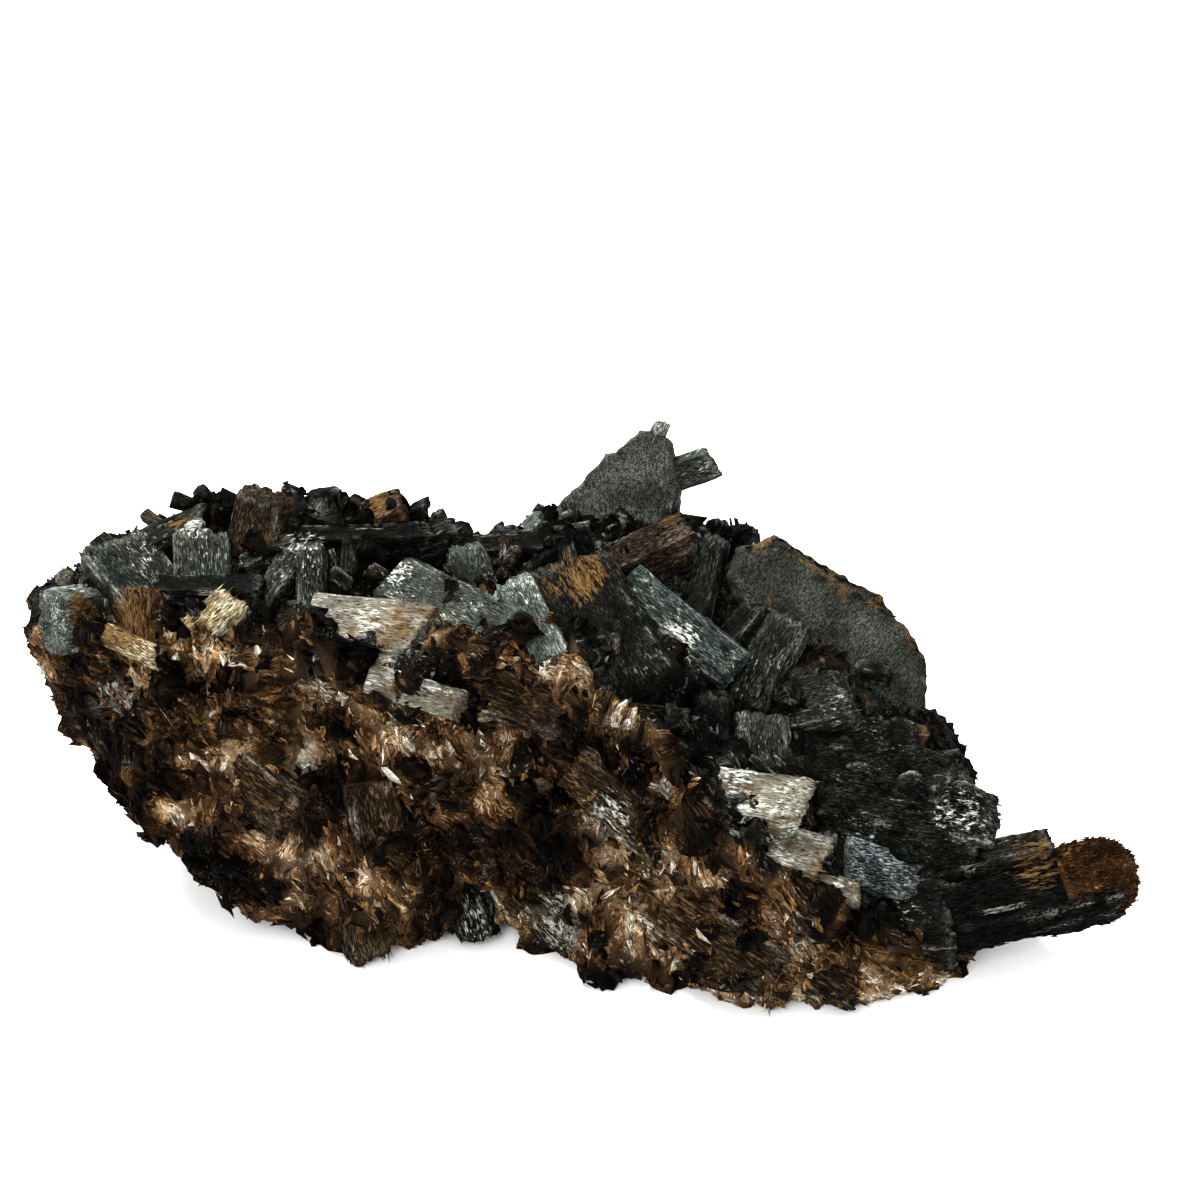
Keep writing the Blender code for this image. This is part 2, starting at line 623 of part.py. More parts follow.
def main():
    clean_scene()
    matrix = make_rock()
    slab = make_slab()
    blade = make_blade()
    tipped = make_tipped_prism()
    cluster = make_cluster(matrix, [slab, blade, tipped])
    part_from_cluster(matrix, [slab, blade, tipped])
    finishes = (
        (matrix, "rusty_matrix", (0.16, 0.085, 0.045), 0.9),
        (cluster, "dark_amphibole", (0.045, 0.052, 0.05), 0.5),
        (slab, "grey_slab", (0.075, 0.085, 0.08), 0.55),
        (blade, "grey_blade", (0.06, 0.067, 0.064), 0.5),
        (tipped, "rust_tipped", (0.06, 0.055, 0.04), 0.6),
    )
    for piece, name, colour, roughness in finishes:
        piece.data.materials.clear()
        piece.data.materials.append(material(name, colour, roughness))
    centre_on_floor([row[0] for row in finishes])


main()
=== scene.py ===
"""Looks of the amphibole specimen: striated prisms, fibrous rock, fine-grained plates.

Lengths in the tables are millimetres, laid out as in the CAD source before it is centred.
"""

import math
import random
from collections import namedtuple

import bpy
import numpy as np
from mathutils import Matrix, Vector, noise


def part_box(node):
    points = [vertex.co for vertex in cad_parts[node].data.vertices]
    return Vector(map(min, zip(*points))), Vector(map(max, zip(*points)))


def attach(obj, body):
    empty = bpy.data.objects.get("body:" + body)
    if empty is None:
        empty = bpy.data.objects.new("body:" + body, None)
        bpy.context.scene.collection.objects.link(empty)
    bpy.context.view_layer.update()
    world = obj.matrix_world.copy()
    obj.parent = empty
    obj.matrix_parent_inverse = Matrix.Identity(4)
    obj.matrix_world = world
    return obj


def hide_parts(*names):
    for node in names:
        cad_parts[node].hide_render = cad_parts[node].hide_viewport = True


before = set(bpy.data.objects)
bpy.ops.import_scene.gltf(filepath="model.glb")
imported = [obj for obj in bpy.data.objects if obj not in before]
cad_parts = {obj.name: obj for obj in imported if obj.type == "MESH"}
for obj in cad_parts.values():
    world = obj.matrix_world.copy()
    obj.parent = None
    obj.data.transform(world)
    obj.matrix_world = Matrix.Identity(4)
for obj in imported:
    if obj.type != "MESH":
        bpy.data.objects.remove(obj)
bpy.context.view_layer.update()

MM = 0.001
SEED = 23

# Spacing of the modelled detail, in millimetres
ROCK_STEP = 0.64
ROCK_BACK_STEP = 1.3
CRYSTAL_STEP = 0.5
RING_SPACING = 0.8
PLATE_STEP = 0.6

# Chips and fibres stay this far above the floor, and each takes its grain from another place
FLOOR_GAP = 0.02
GRAIN_RANGE = 300

# The rock's cross-sections: foot and heel are the edges of the underside, the ridge is
# where the brown face meets the dark crystals, the crest is the top of the bed.
Station = namedtuple("Station", "x foot_y foot_z ridge_y ridge_z crest_y crest_z back_y heel_z")
STATIONS = [Station(*row) for row in (
    (-84, -2, 34, -3, 40, 7, 44, 18, 31),
    (-77, -9, 25, -5, 41.5, 10, 47, 21, 23),
    (-68, -18.5, 16, -8, 41.5, 14, 51, 26, 15),
    (-59, -20, 10.5, -12, 43, 14, 53, 29, 8),
    (-50, -23, 5.5, -13, 43.5, 15, 54, 31, 3),
    (-41, -26.5, 0.8, -14, 44, 18, 51, 33, 0),
    (-34, -29, 0, -19, 42, 19, 50, 34, 0),
    (-28, -25, 3.5, -20, 42.5, 19, 47, 34, 0),
    (-22, -24, 3, -15.5, 46, 19, 47, 34, 0),
    (-15, -23.5, 3, -16.5, 46, 18, 47, 34, 0),
    (-8, -27.5, 0, -16, 46, 17, 48, 34, 0),
    (0, -32, 0, -21, 41, 17, 49, 33, 0),
    (8, -33.5, 0, -23.5, 37, 17, 49, 32, 0),
    (16, -38, 0, -32, 26, 16, 48, 31, 0),
    (24, -42.5, 0, -34.5, 20, 15, 47, 30, 0),
    (32, -42, 0, -35.5, 15, 11, 44, 28, 0),
    (40, -40.5, 0, -36, 9.5, 6, 38, 24, 0),
    (48, -37.5, 0, -35, 7, 0, 28, 18, 0),
    (55, -31, 0, -26, 9, -10, 21, 9, 0),
)]
BED_CORNERS = (4, 10)

# One prism: buried foot, free tip, width, thickness, roll of the broad face, and its skin
Crystal = namedtuple("Crystal", "name foot tip width thickness roll skin", defaults=["bark"])
CRYSTALS = [Crystal(*row) for row in (
    ("end_block", (-77, 2, 41.5), (-82.5, -6, 45), 11, 6.5, 80, "pale"),
    ("broad_left", (-66, -3, 44), (-75, 9, 48), 12, 8, 5, "olive"),
    ("left_knob", (-70, 10, 47), (-60, 11, 51), 8, 8, 0, "dark"),
    ("pale_block", (-60, 0, 45), (-61, 8, 51), 10, 7, 0, "grey"),
    ("left_bar", (-67, 0, 46), (-50, -3, 48), 6, 6, 10, "black"),
    ("rust_knob", (-69, -7, 41), (-69, -2, 49), 7, 6, 20, "rust"),
    ("white_blade", (-78, -3, 43), (-65, -12, 42), 5, 4, 30, "cream"),
    ("cream_tuft", (-60.5, -8.5, 44), (-54.5, -5, 48), 8, 5, 20, "cream"),
    ("brown_peak", (-53, 7, 48), (-51, 13, 56.5), 9, 8, 0, "brown"),
    ("peak_shoulder", (-57, 9, 47), (-47, 13, 52), 8, 7, 0, "black"),
    ("rust_chunk", (-41, 14, 47), (-30, 17, 51), 8, 7, 0, "rust"),
    ("chunk_nub", (-34, 16, 48), (-26.5, 18, 51), 4, 4, 0, "black"),
    ("upright_pair", (-43, -15, 42), (-44, 5, 51), 6, 6, 0, "olive"),
    ("slanted_pair", (-53, -9, 44), (-46, 5, 51), 6, 5, 0, "olive"),
    ("pair_shoulder", (-54, 3, 49), (-46, 6, 52), 5, 4, 0, "dark"),
    ("long_ledge", (-50, 8, 50), (-26, 12, 48.5), 6, 6, 10, "black"),
    ("ledge_end", (-33, 10, 46), (-22, 14, 48.5), 7, 6, 0, "dark"),
    ("small_black_left", (-26, 12, 45), (-20, 14, 49), 5, 5, 0, "black"),
    ("small_black_right", (-19, 11, 45), (-14, 14, 49.5), 5, 4, 0, "black"),
    ("black_bar", (-21, 11, 46), (-3, 10, 48), 7, 7, 10, "black"),
    ("knuckle", (-16, -4, 44), (-21, 7, 50.5), 7, 7, 0, "grey"),
    ("smooth_grey", (-31, 2, 46), (-13, -14, 47), 11, 8, 20, "grey"),
    ("white_block", (-43, -7, 45), (-25, -13.5, 46.5), 10, 8, 30, "white"),
    ("pink_block", (-41, -12.5, 44), (-26, -18, 44.2), 7, 6, 40, "white"),
    ("white_tail", (-34, -19.5, 44), (-20, -22.5, 41), 6, 5, 40, "white"),
    ("centre_block", (5, -17, 37), (-7, 3, 47.5), 18, 14, 20, "dark"),
    ("centre_wing", (-7, -16, 43), (-13, -2, 48), 8, 8, 10, "pale"),
    ("back_block", (1, 8, 44), (14, 12, 49), 9, 9, 10, "brown"),
    ("teal_prism", (4, 4, 45.5), (21, -8, 37), 8, 7, 25, "teal"),
    ("black_cube", (18, -3, 36), (25, 3, 42), 7, 6, 0, "black"),
    ("dark_blade", (14, -2, 41), (18, 11, 49), 6, 5, 0, "dark"),
    ("striped_block", (26, -9, 30), (38.5, -8, 32.5), 10, 8, 30, "olive"),
    ("dark_rhomb", (22, -10, 32), (29, 1, 41), 8, 6, 10, "olive"),
    ("black_column", (17, -26, 24), (17, -12, 36), 7, 7, 0, "black"),
    ("striated_bar", (-2, -22, 39), (13, -18, 35), 6, 5, 40, "brown"),
    ("grey_block", (24, -24, 22), (24, -13, 33), 10, 8, 5, "grey"),
    ("speckled_mass", (15.5, -26, 27), (30, -28, 26), 10, 8, 20, "white"),
    ("white_knob", (22, -30, 21.5), (33, -32, 19.5), 9, 7, 20, "white"),
    ("round_knob", (33, -29, 15), (34, -26, 21), 4, 4, 0, "grey"),
    ("white_wedge", (26, -33.5, 18), (38.5, -34.5, 15), 5, 5, 30, "white"),
    ("fan_low", (33, -22, 19), (58, -24, 15.5), 9, 7, 20, "green"),
    ("fan_middle", (31, -19, 23), (60, -20, 17.5), 11, 7, 30, "green"),
    ("fan_upper", (30, -16, 26), (54, -14, 21.5), 10, 7, 25, "dark"),
    ("fan_top", (30, -13, 28), (49, -9, 24), 8, 6, 15, "dark"),
    ("rust_seam", (37, -10, 26), (50, -6, 23.5), 5, 5, 0, "rust"),
    ("blue_block", (36, -29, 17), (47, -27, 12), 9, 6, 35, "blue"),
    ("black_end", (47, -26, 12), (67.5, -25, 17), 7, 6, 10, "dark"),
    ("black_foot", (41, -30, 7), (53, -32, 8), 13, 11, 20, "black"),
    ("pale_wedge", (-14, 16, 43), (-8, 17, 49), 6, 5, 0, "pale"),
)]
ROCK_PIECES = [Crystal(*row) for row in (
    ("cast_plate", (-35, -22, 27), (-31, -27, 9), 8, 4, 30),
    ("diagonal_plate", (-40, -24, 10), (-28, -26, 14), 7, 4, 60),
    ("lobe_tip", (-37, -24, 8), (-34, -30, 0.5), 8, 6, 0),
    ("hanging_nub", (-22, -20, 10), (-18, -26, 1), 7, 5, 40, "dark"),
    ("white_shoulder", (-12, -22, 8), (-3, -29, 4), 9, 6, 40),
    ("lobe_ledge", (-66, -14, 24), (-58, -20, 13), 8, 5, 50),
    ("lobe_corner", (-75, -5, 34), (-71, -13, 22), 8, 5, 50),
    ("middle_ledge", (-58, -14, 27), (-45, -24, 22), 9, 5, 60),
    ("brown_ridge", (-24, -14, 42), (-5, -21, 38), 9, 5, 50),
    ("brown_step", (-4, -22, 30), (10, -30, 22), 8, 5, 60),
    ("toe_ledge", (10, -33, 12), (26, -42, 6), 9, 5, 50),
    ("toe_corner", (28, -38, 6), (38, -42, 2), 7, 5, 30),
    ("back_step", (42, 6, 13), (55, 12, 5), 9, 7, 30),
    ("back_corner", (50, -8, 13), (61, -4, 6), 8, 7, 20),
    ("back_ledge", (10, 26, 24), (26, 35, 20), 10, 8, 20),
    ("back_shelf", (-40, 28, 22), (-22, 37, 20), 10, 8, 30),
)]
TIPPED_PRISM = Crystal("tipped", (46, -32, 7.5), (77, -28, 13), 12, 9.5, 30, "black")
TIP_STUB = Crystal("stub", (69, -29, 12.8), (80, -27.5, 15.0), 11, 10.5, 0, "velvet")
TWIN = Crystal("twin", (5, 22, 52), (18, 23, 56.5), 6.5, 4.5, 70, "grey")
SLAB_NUB = Crystal("nub", (8, 24, 58), (10.0, 25.3, 62.4), 3.4, 3.2, 0, "pale")

# The two plates: middle, direction across, direction up, thickness and outline
Plate = namedtuple("Plate", "middle across up thickness outline")
SLAB = Plate((3, 20, 53.2), (1, -0.085, 0.053), (0, 0.484, 0.877), 5.5, (
    (-11.5, -5), (-9, -1.5), (-7, 0), (-4.5, 3.2), (-2.3, 5.5), (-0.8, 5.8), (3, 9.2),
    (5.4, 9.2), (8, 7.6), (8.6, 5), (9.2, 3), (9.6, 0), (9, -5), (10, -11), (-1, -14), (-10, -10),
))
BLADE = Plate((38.4, 2.0, 37.0), (0.78, -0.181, -0.618), (0.594, 0.584, 0.579), 5.0, (
    (-22, 1), (-19, 5), (-13, 5.5), (-6, 6.6), (1, 7.6), (7, 7.6), (12, 5.6), (15, 2.2),
    (17.3, -4), (13, -10), (0, -12), (-13, -8), (-21, -4),
))
BLADE_LAYER = BLADE._replace(thickness=2.6, outline=(
    (-20, 2), (-18.5, 6), (-12, 7), (-5, 8), (1, 9), (5, 8), (2, 5), (-6, 3.5), (-14, 2),
))
LAYER_DEPTH = 1.5

# Share of each crust over the whole rock
ROCK_WHITE = 0.16
ROCK_RUST = 0.30

# Skins: the colour of the stone, the colour of its streaks, and the share of each crust
Skin = namedtuple("Skin", "stone streak white rust")
SKINS = {name: Skin(*row) for name, row in {
    "black": ((0.0011, 0.0012, 0.0009), (0.012, 0.013, 0.0095), 0.06, 0.04),
    "dark": ((0.003, 0.0034, 0.0026), (0.026, 0.0285, 0.0215), 0.12, 0.06),
    "green": ((0.0024, 0.003, 0.0022), (0.031, 0.0365, 0.0275), 0.14, 0.06),
    "olive": ((0.0062, 0.0073, 0.0056), (0.058, 0.066, 0.052), 0.18, 0.1),
    "teal": ((0.012, 0.0165, 0.015), (0.092, 0.112, 0.101), 0.2, 0.05),
    "grey": ((0.015, 0.017, 0.0143), (0.072, 0.0805, 0.068), 0.22, 0.05),
    "blue": ((0.009, 0.0105, 0.011), (0.23, 0.255, 0.264), 0.2, 0.05),
    "pale": ((0.03, 0.035, 0.03), (0.17, 0.193, 0.168), 0.34, 0.06),
    "white": ((0.085, 0.078, 0.06), (0.27, 0.26, 0.215), 0.46, 0.54),
    "cream": ((0.07, 0.052, 0.024), (0.56, 0.49, 0.32), 0.35, 0.45),
    "rust": ((0.016, 0.0078, 0.003), (0.11, 0.06, 0.022), 0.05, 0.5),
    "velvet": ((0.03, 0.013, 0.004), (0.08, 0.038, 0.011), 0, 0.4),
    "brown": ((0.006, 0.0042, 0.0024), (0.068, 0.045, 0.024), 0.12, 0.22),
    "bark": ((0.012, 0.0078, 0.0042), (0.12, 0.078, 0.04), 0.04, 0.3),
    "plate": ((0.012, 0.0132, 0.0106), (0.064, 0.069, 0.057), 0, 0),
    "pale_plate": ((0.0175, 0.0192, 0.0155), (0.09, 0.0975, 0.081), 0, 0),
}.items()}
WHITE_CRUST = np.array((0.42, 0.42, 0.37))
RUST_CRUST = np.array((0.15, 0.083, 0.029))

# Colours of fibres from the deepest pits to the palest tips; the pits' dark end is painted shade and the
# tips' pale end painted light
Ramp = namedtuple("Ramp", "at colours")
BROWN_RAMP = Ramp((-1.2, -0.5, 0.1, 0.7, 1.3, 2.0), (
    (0.0013, 0.0010, 0.0008), (0.0080, 0.0049, 0.0031), (0.038, 0.0215, 0.0108),
    (0.1450, 0.0770, 0.0300), (0.370, 0.2180, 0.0950), (0.800, 0.7300, 0.5900),
))
DARK_RAMP = Ramp((-1.2, -0.4, 0.3, 0.9, 1.4, 2.0), (
    (0.0010, 0.0011, 0.0009), (0.0020, 0.0022, 0.0018), (0.0065, 0.0070, 0.0058),
    (0.0240, 0.0250, 0.0200), (0.0900, 0.0920, 0.0780), (0.3000, 0.3000, 0.2600),
))

# Patches of crust that cover whatever they reach: middle, reach, and share of white and rust
Patch = namedtuple("Patch", "middle reach white rust")
PATCHES = [Patch(*row) for row in (
    ((-40, -13, 42), 6, 0.5, 0.1),
    ((-28, -17, 41), 6, 0.5, 0.2),
    ((-73, -9, 33), 5, 0.55, 0.3),
    ((-45, -22, 12), 5, 0.4, 0.3),
    ((-20, -25, 4), 4, 0.45, 0.1),
    ((-6, -29, 6), 6, 0.5, 0.1),
    ((2, -27, 24), 5, 0.45, 0),
    ((21, -29, 22), 7, 0.6, 0.35),
    ((30, -36, 11), 6, 0.45, 0.2),
    ((46, -37, 4), 5, 0.1, 0.6),
    ((46, -33, 9), 5, 0.2, 0.1),
    ((54, -20, 18), 6, 0.4, 0),
    ((11.5, -4, 39), 5, 0.85, 0.1),
    ((-62, 8, 53), 3, 0.6, 0.2),
    ((-64, 10, 51), 3, 0, 0.8),
    ((-70, -5, 43), 6, 0, 0.8),
    ((-78.5, -4, 46), 3, 0, 0.8),
    ((-3, -2, 49.5), 6, 0, 0.62),
    ((65, -27, 15.5), 5, 0, 0.6),
    ((26.5, 2.6, 43), 1.8, 0, 0.5),
    ((3.8, 22, 57), 1.4, 0, 0.4),
    ((-31, 1, 50), 3, 0.5, 0),
    ((-45, 5, 52.5), 4, 0.35, 0),
    ((-54, -13, 44), 3, 0.35, 0),
    ((-48, -14, 44), 3, 0.4, 0),
    ((-42, -14.5, 44.5), 3, 0.5, 0),
)]


def mix(a, b, t):
    return a + (b - a) * t


def smooth(t):
    t = np.clip(t, 0.0, 1.0)
    return t * t * (3 - 2 * t)


def bell(distance, width):
    return np.exp(-((distance / width) ** 2))


def unit(v):
    return v / np.maximum(np.linalg.norm(v, axis=-1, keepdims=True), 1e-9)


def lattice(i, seed):
    """A repeatable number from 0 to 1 for each row of three whole numbers."""
    h = (i * (374761393, 668265263, 1440662683)).sum(-1) + seed * 1274126177
    h = (h ^ (h >> 13)) * 1103515245
    return ((h ^ (h >> 16)) & 0xFFFFFF) / 0xFFFFFF


def soft_noise(points, seed=0):
    """Smooth noise from -1 to 1 at each row of points."""
    base = np.floor(points)
    f = points - base
    f = f * f * (3 - 2 * f)
    total = 0.0
    for corner in range(8):
        d = (corner & 1, (corner >> 1) & 1, corner >> 2)
        weight = 1.0
        for k in range(3):
            weight = weight * (f[..., k] if d[k] else 1 - f[..., k])
        total = total + weight * lattice(base.astype(np.int64) + d, seed)
    return total * 2 - 1


def layered(points, layers, seed=0):
    total, size = 0.0, 0.0
    for layer in range(layers):
        total = total + soft_noise(points * 2.0 ** layer, seed + layer) * 0.5 ** layer
        size += 0.5 ** layer
    return total / size


def cells(points, seed=0):
    """The random number of the nearest cell to each point, and the middle of that cell."""
    base = np.floor(points).astype(np.int64)
    best = np.full(points.shape[:-1], 1e9)
    number = np.zeros(points.shape[:-1])
    centre = np.zeros(points.shape)
    for n in range(27):
        i = base + np.array((n % 3 - 1, n // 3 % 3 - 1, n // 9 - 1))
        middle = np.stack([lattice(i, seed + k) for k in range(3)], -1) + i
        distance = ((middle - points) ** 2).sum(-1)
        nearer = distance < best
        best = np.where(nearer, distance, best)
        number = np.where(nearer, lattice(i, seed + 7), number)
        centre = np.where(nearer[..., None], middle, centre)
    return number, centre


def another(number, factor):
    """A second random number from 0 to 1, made from the first."""
    return (number * factor) % 1.0


def ramp_colours(ramp, value):
    channels = [[colour[k] for colour in ramp.colours] for k in range(3)]
    return np.stack([np.interp(value, ramp.at, channel) for channel in channels], -1)


def closed_faces(rows, columns):
    """Triangles of a tube of rings, closed by two more points: the first end's and the last's."""
    i, j = np.meshgrid(np.arange(rows - 1), np.arange(columns), indexing="ij")
    k = (j + 1) % columns
    a, b, c, d = i * columns + j, i * columns + k, (i + 1) * columns + k, (i + 1) * columns + j
    ring, after, last = j[0], k[0], (rows - 1) * columns
    return np.concatenate([
        np.stack([a, b, c], -1).reshape(-1, 3), np.stack([a, c, d], -1).reshape(-1, 3),
        np.stack([after, ring, np.full(columns, rows * columns)], -1),
        np.stack([last + ring, last + after, np.full(columns, rows * columns + 1)], -1),
    ])


class Bodies:
    """Corners and triangles of many closed bodies, with colours, grain and marks per corner."""

    def __init__(self):
        self.columns = {"points": [], "stone": [], "streak": [], "grain": [], "marks": []}
        self.faces = []
        self.count = 0

    def add(self, points, faces, stone, streak, grain, marks):
        n = len(points)
        row = {"points": points, "stone": stone, "streak": streak, "grain": grain, "marks": marks}
        for key, value in row.items():
            self.columns[key].append(np.broadcast_to(value, (n, 3)))
        self.faces.append(faces + self.count)
        self.count += n

    def add_copies(self, points, triangles, colour, tones, grain):
        """Many small bodies of the same triangles, with the tones of their stone and streaks."""
        n, corners = points.shape[:2]
        points[..., 2] = np.maximum(points[..., 2], FLOOR_GAP)
        faces = np.array(triangles) + (np.arange(n) * corners)[:, None, None]
        colour = np.broadcast_to(colour, points.shape).reshape(-1, 3)
        self.add(points.reshape(-1, 3), faces.reshape(-1, 3), colour * tones[0], colour * tones[1],
                 grain.reshape(-1, 3), np.zeros(3))

    def build(self, name, material, is_smooth=True):
        data = {key: np.concatenate(value) for key, value in self.columns.items()}
        faces = np.concatenate(self.faces)
        points = data["points"] + SHIFT
        points[:, 2] = np.maximum(points[:, 2], 0.0)
        mesh = bpy.data.meshes.new(name)
        mesh.vertices.add(len(points))
        mesh.vertices.foreach_set("co", (points * MM).astype(np.float32).ravel())
        mesh.loops.add(faces.size)
        mesh.loops.foreach_set("vertex_index", faces.astype(np.int32).ravel())
        mesh.polygons.add(len(faces))
        mesh.polygons.foreach_set("loop_start", np.arange(0, faces.size, 3, dtype=np.int32))
        mesh.update(calc_edges=True)
        mesh.polygons.foreach_set("use_smooth", np.full(len(faces), is_smooth))
        for key in ("stone", "streak"):
            colour = np.concatenate([data[key], np.ones((len(points), 1))], axis=1)
            layer = mesh.attributes.new(key, "FLOAT_COLOR", "POINT")
            layer.data.foreach_set("color", colour.astype(np.float32).ravel())
        for key in ("grain", "marks"):
            layer = mesh.attributes.new(key, "FLOAT_VECTOR", "POINT")
            layer.data.foreach_set("vector", data[key].astype(np.float32).ravel())
        mesh.materials.append(material)
        return add_object(name, mesh)


def plate_axes(plate):
    across, up = unit(np.array(plate.across)), unit(np.array(plate.up))
    return np.array(plate.middle, float), across, up, np.cross(across, up)


def plate_corners(plate):
    """Corners of the plate's two full-size outlines, as in the CAD source."""
    middle, across, up, normal = plate_axes(plate)
    outline = np.array(plate.outline, float)
    flat = middle + outline[:, :1] * across + outline[:, 1:] * up
    return np.concatenate([flat - normal * plate.thickness * depth for depth in (0.2, 0.8)])


def find_shift():
    """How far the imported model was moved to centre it, from the two plates' boxes."""
    blade_high, slab_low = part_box("broad_blade")[1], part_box("leaning_slab")[0]
    blade, slab = plate_corners(BLADE), plate_corners(SLAB)
    return np.array((blade_high.x / MM - blade[:, 0].max(), slab_low.y / MM - slab[:, 1].min(), 0.0))


SHIFT = find_shift()


def crystal_axes(crystal):
    """Foot, unit axis, length, direction across the broad face, and that face's normal."""
    foot = Vector(crystal.foot)
    axis = Vector(crystal.tip) - foot
    length = axis.length
    axis.normalize()
    upward = Vector((0, 0, 1)) - axis * axis.z
    if upward.length < 0.2:
        upward = Vector((0, -1, 0)) - axis * -axis.y
    upward.normalize()
    side = axis.cross(upward)
    if side.y > 0:
        side = -side
    angle = math.radians(crystal.roll)
    normal = upward * math.cos(angle) + side * math.sin(angle)
    return np.array(foot), np.array(axis), length, np.array(axis.cross(normal)), np.array(normal)


def resample(corners, step):
    """Points along a closed outline, their outward directions, and distance to a corner."""
    points, outward, to_corner = [], [], []
    for here, there in zip(corners, np.roll(corners, -1, axis=0)):
        edge = there - here
        size = np.hypot(*edge)
        count = max(1, round(size / step))
        for i in range(count):
            t = i / count
            points.append(here + edge * t)
            outward.append(np.array((edge[1], -edge[0])) / max(size, 1e-6))
            to_corner.append(min(t, 1 - t) * size)
    points, outward = np.array(points), np.array(outward)
    outward = unit(outward + np.roll(outward, 1, axis=0))
    return points, outward, np.array(to_corner)


def crust_marks(points, white, rust, wear):
    """Wear, and how much of the surface white and rusty crust cover, at each point."""
    white = white * (0.6 + 1.3 * layered(points / 3.5, 3, 90))
    rust = rust * (0.6 + 1.3 * layered(points / 5.0, 3, 50))
    for patch in PATCHES:
        distance = np.linalg.norm(points - np.array(patch.middle), axis=-1) / patch.reach
        inside = smooth(1.4 - distance)
        white = np.maximum(white, inside * patch.white)
        rust = np.maximum(rust, inside * patch.rust)
    return np.stack([wear * np.ones(len(points)), np.clip(white, 0, 1), np.clip(rust, 0, 1)], -1)


def crust_over(rng, colour, marks, least, tones):
    """Colours of fibres or chips, some of them crusted, as often as their marks call for."""
    for crust, share in ((WHITE_CRUST, marks[:, 1]), (RUST_CRUST, marks[:, 2])):
        covered = rng.random(len(colour)) < smooth((share - least) / 0.7) * 0.8
        tone = rng.uniform(*tones, (len(colour), 1))
        colour = np.where(covered[:, None], crust * tone, colour)
    return colour


def skin_colours(points, skin, seed):
    shade = 1 + 0.9 * layered(points / 4.0, 3, seed)[:, None]
    return np.array(skin.stone) * shade, np.array(skin.streak) * shade


# Where fibres lie: place, outward direction, direction along, dark and light colours, marks
Hosts = namedtuple("Hosts", "place up along stone streak marks")


SLIVER_FACES = ((1, 2, 4), (2, 3, 4), (3, 1, 4), (2, 1, 0), (3, 2, 0), (1, 3, 0))
SLIVER_GRAIN = np.array(((0, 0, -1), (-1, 0, 0), (1, 0, 0), (0, 1, 0), (0, 0, 1)))


def add_fibres(bodies, rng, place, up, along, colour, length, width, lift, stray):
    """Thin closed slivers that lie along a surface, thickest in the middle."""
    n = len(place)
    side = unit(np.cross(up, along))
    along = unit(along + side * rng.normal(0, stray, (n, 1)) + up * rng.normal(0, stray * 0.35, (n, 1)))
    side = unit(np.cross(up, along) + up * rng.normal(0, 0.4, (n, 1)))
    side = unit(side - along * (side * along).sum(-1, keepdims=True))
    up = np.cross(along, side)
    half = rng.uniform(*length, (n, 1)) * rng.uniform(0.25, 0.55, (n, 1))
    wide = rng.uniform(*width, (n, 1)) * 0.5
    tall = wide * rng.uniform(0.5, 1.2, (n, 1))
    middle = place + up * rng.uniform(-0.1, lift, (n, 1))
    waist = along * half * rng.uniform(-0.5, 0.5, (n, 1))
    bend = side * half * rng.normal(0, 0.06, (n, 1))
    low = [middle + waist + side * wide * sign + bend - up * wide * 0.5 for sign in (-1, 1)]
    points = np.stack((middle - along * half - up * 0.1, *low, middle + waist + bend + up * tall,
                       middle + along * half), 1)
    grain = rng.uniform(0, GRAIN_RANGE, (n, 1, 3)) + SLIVER_GRAIN * np.stack([wide, tall, half], -1)
    bodies.add_copies(points, SLIVER_FACES, colour[:, None], (0.6, 1.3), grain)


SHARD_OUTLINE = np.array(((-1, -0.5), (-0.35, -1), (0.55, -0.9), (1, 0.1), (0.4, 1), (-0.7, 0.85)))
SHARD_FACES = np.array([(0, k, k + 1) for k in range(1, 5)] + [(6, (k + 1) % 6, k) for k in range(6)])
# The buried point is painted at 0.3 of the chip's colour, so the chip's sides carry painted shade down
# towards the rock
SHARD_UNDERSIDE_SHADE = np.array((1, 1, 1, 1, 1, 1, 0.3))
SHARD_DEPTH = 0.7


def add_shards(bodies, rng, place, up, along, colour, length, width, rise, tilt):
    """Splintered chips half sunk along a surface: a broken top, and a point under it."""
    n = len(place)
    side = unit(np.cross(up, along))
    up = unit(up + side * rng.normal(0, tilt, (n, 1)) + along * rng.normal(0, tilt * 0.4, (n, 1)))
    side = unit(np.cross(up, along + side * rng.normal(0, 0.1, (n, 1))))
    along = np.cross(side, up)
    outline = SHARD_OUTLINE + rng.uniform(-0.25, 0.25, (n, 6, 2))
    half, wide, tall = (rng.uniform(*size, (n, 1)) * 0.5 for size in (length, width, rise))
    run, across = outline[..., :1] * half[:, None], outline[..., 1:] * wide[:, None]
    height = tall[:, None] * rng.uniform(-0.2, 1.4, (n, 6, 1))
    top = place[:, None] + run * along[:, None] + across * side[:, None] + height * up[:, None]
    points = np.concatenate([top, (place - up * SHARD_DEPTH)[:, None]], 1)
    local = np.concatenate([across, height, run], -1)
    below = np.zeros((n, 1, 3)) - (0, SHARD_DEPTH, 0)
    grain = np.concatenate([local, below], 1) + rng.uniform(0, GRAIN_RANGE, (n, 1, 3))
    # Painted shade: each chip's sides darken towards its buried point
    tone = rng.uniform(0.8, 1.2, (n, 7, 1)) * SHARD_UNDERSIDE_SHADE[:, None]
    bodies.add_copies(points, SHARD_FACES, colour[:, None] * tone, (0.45, 1.6), grain)


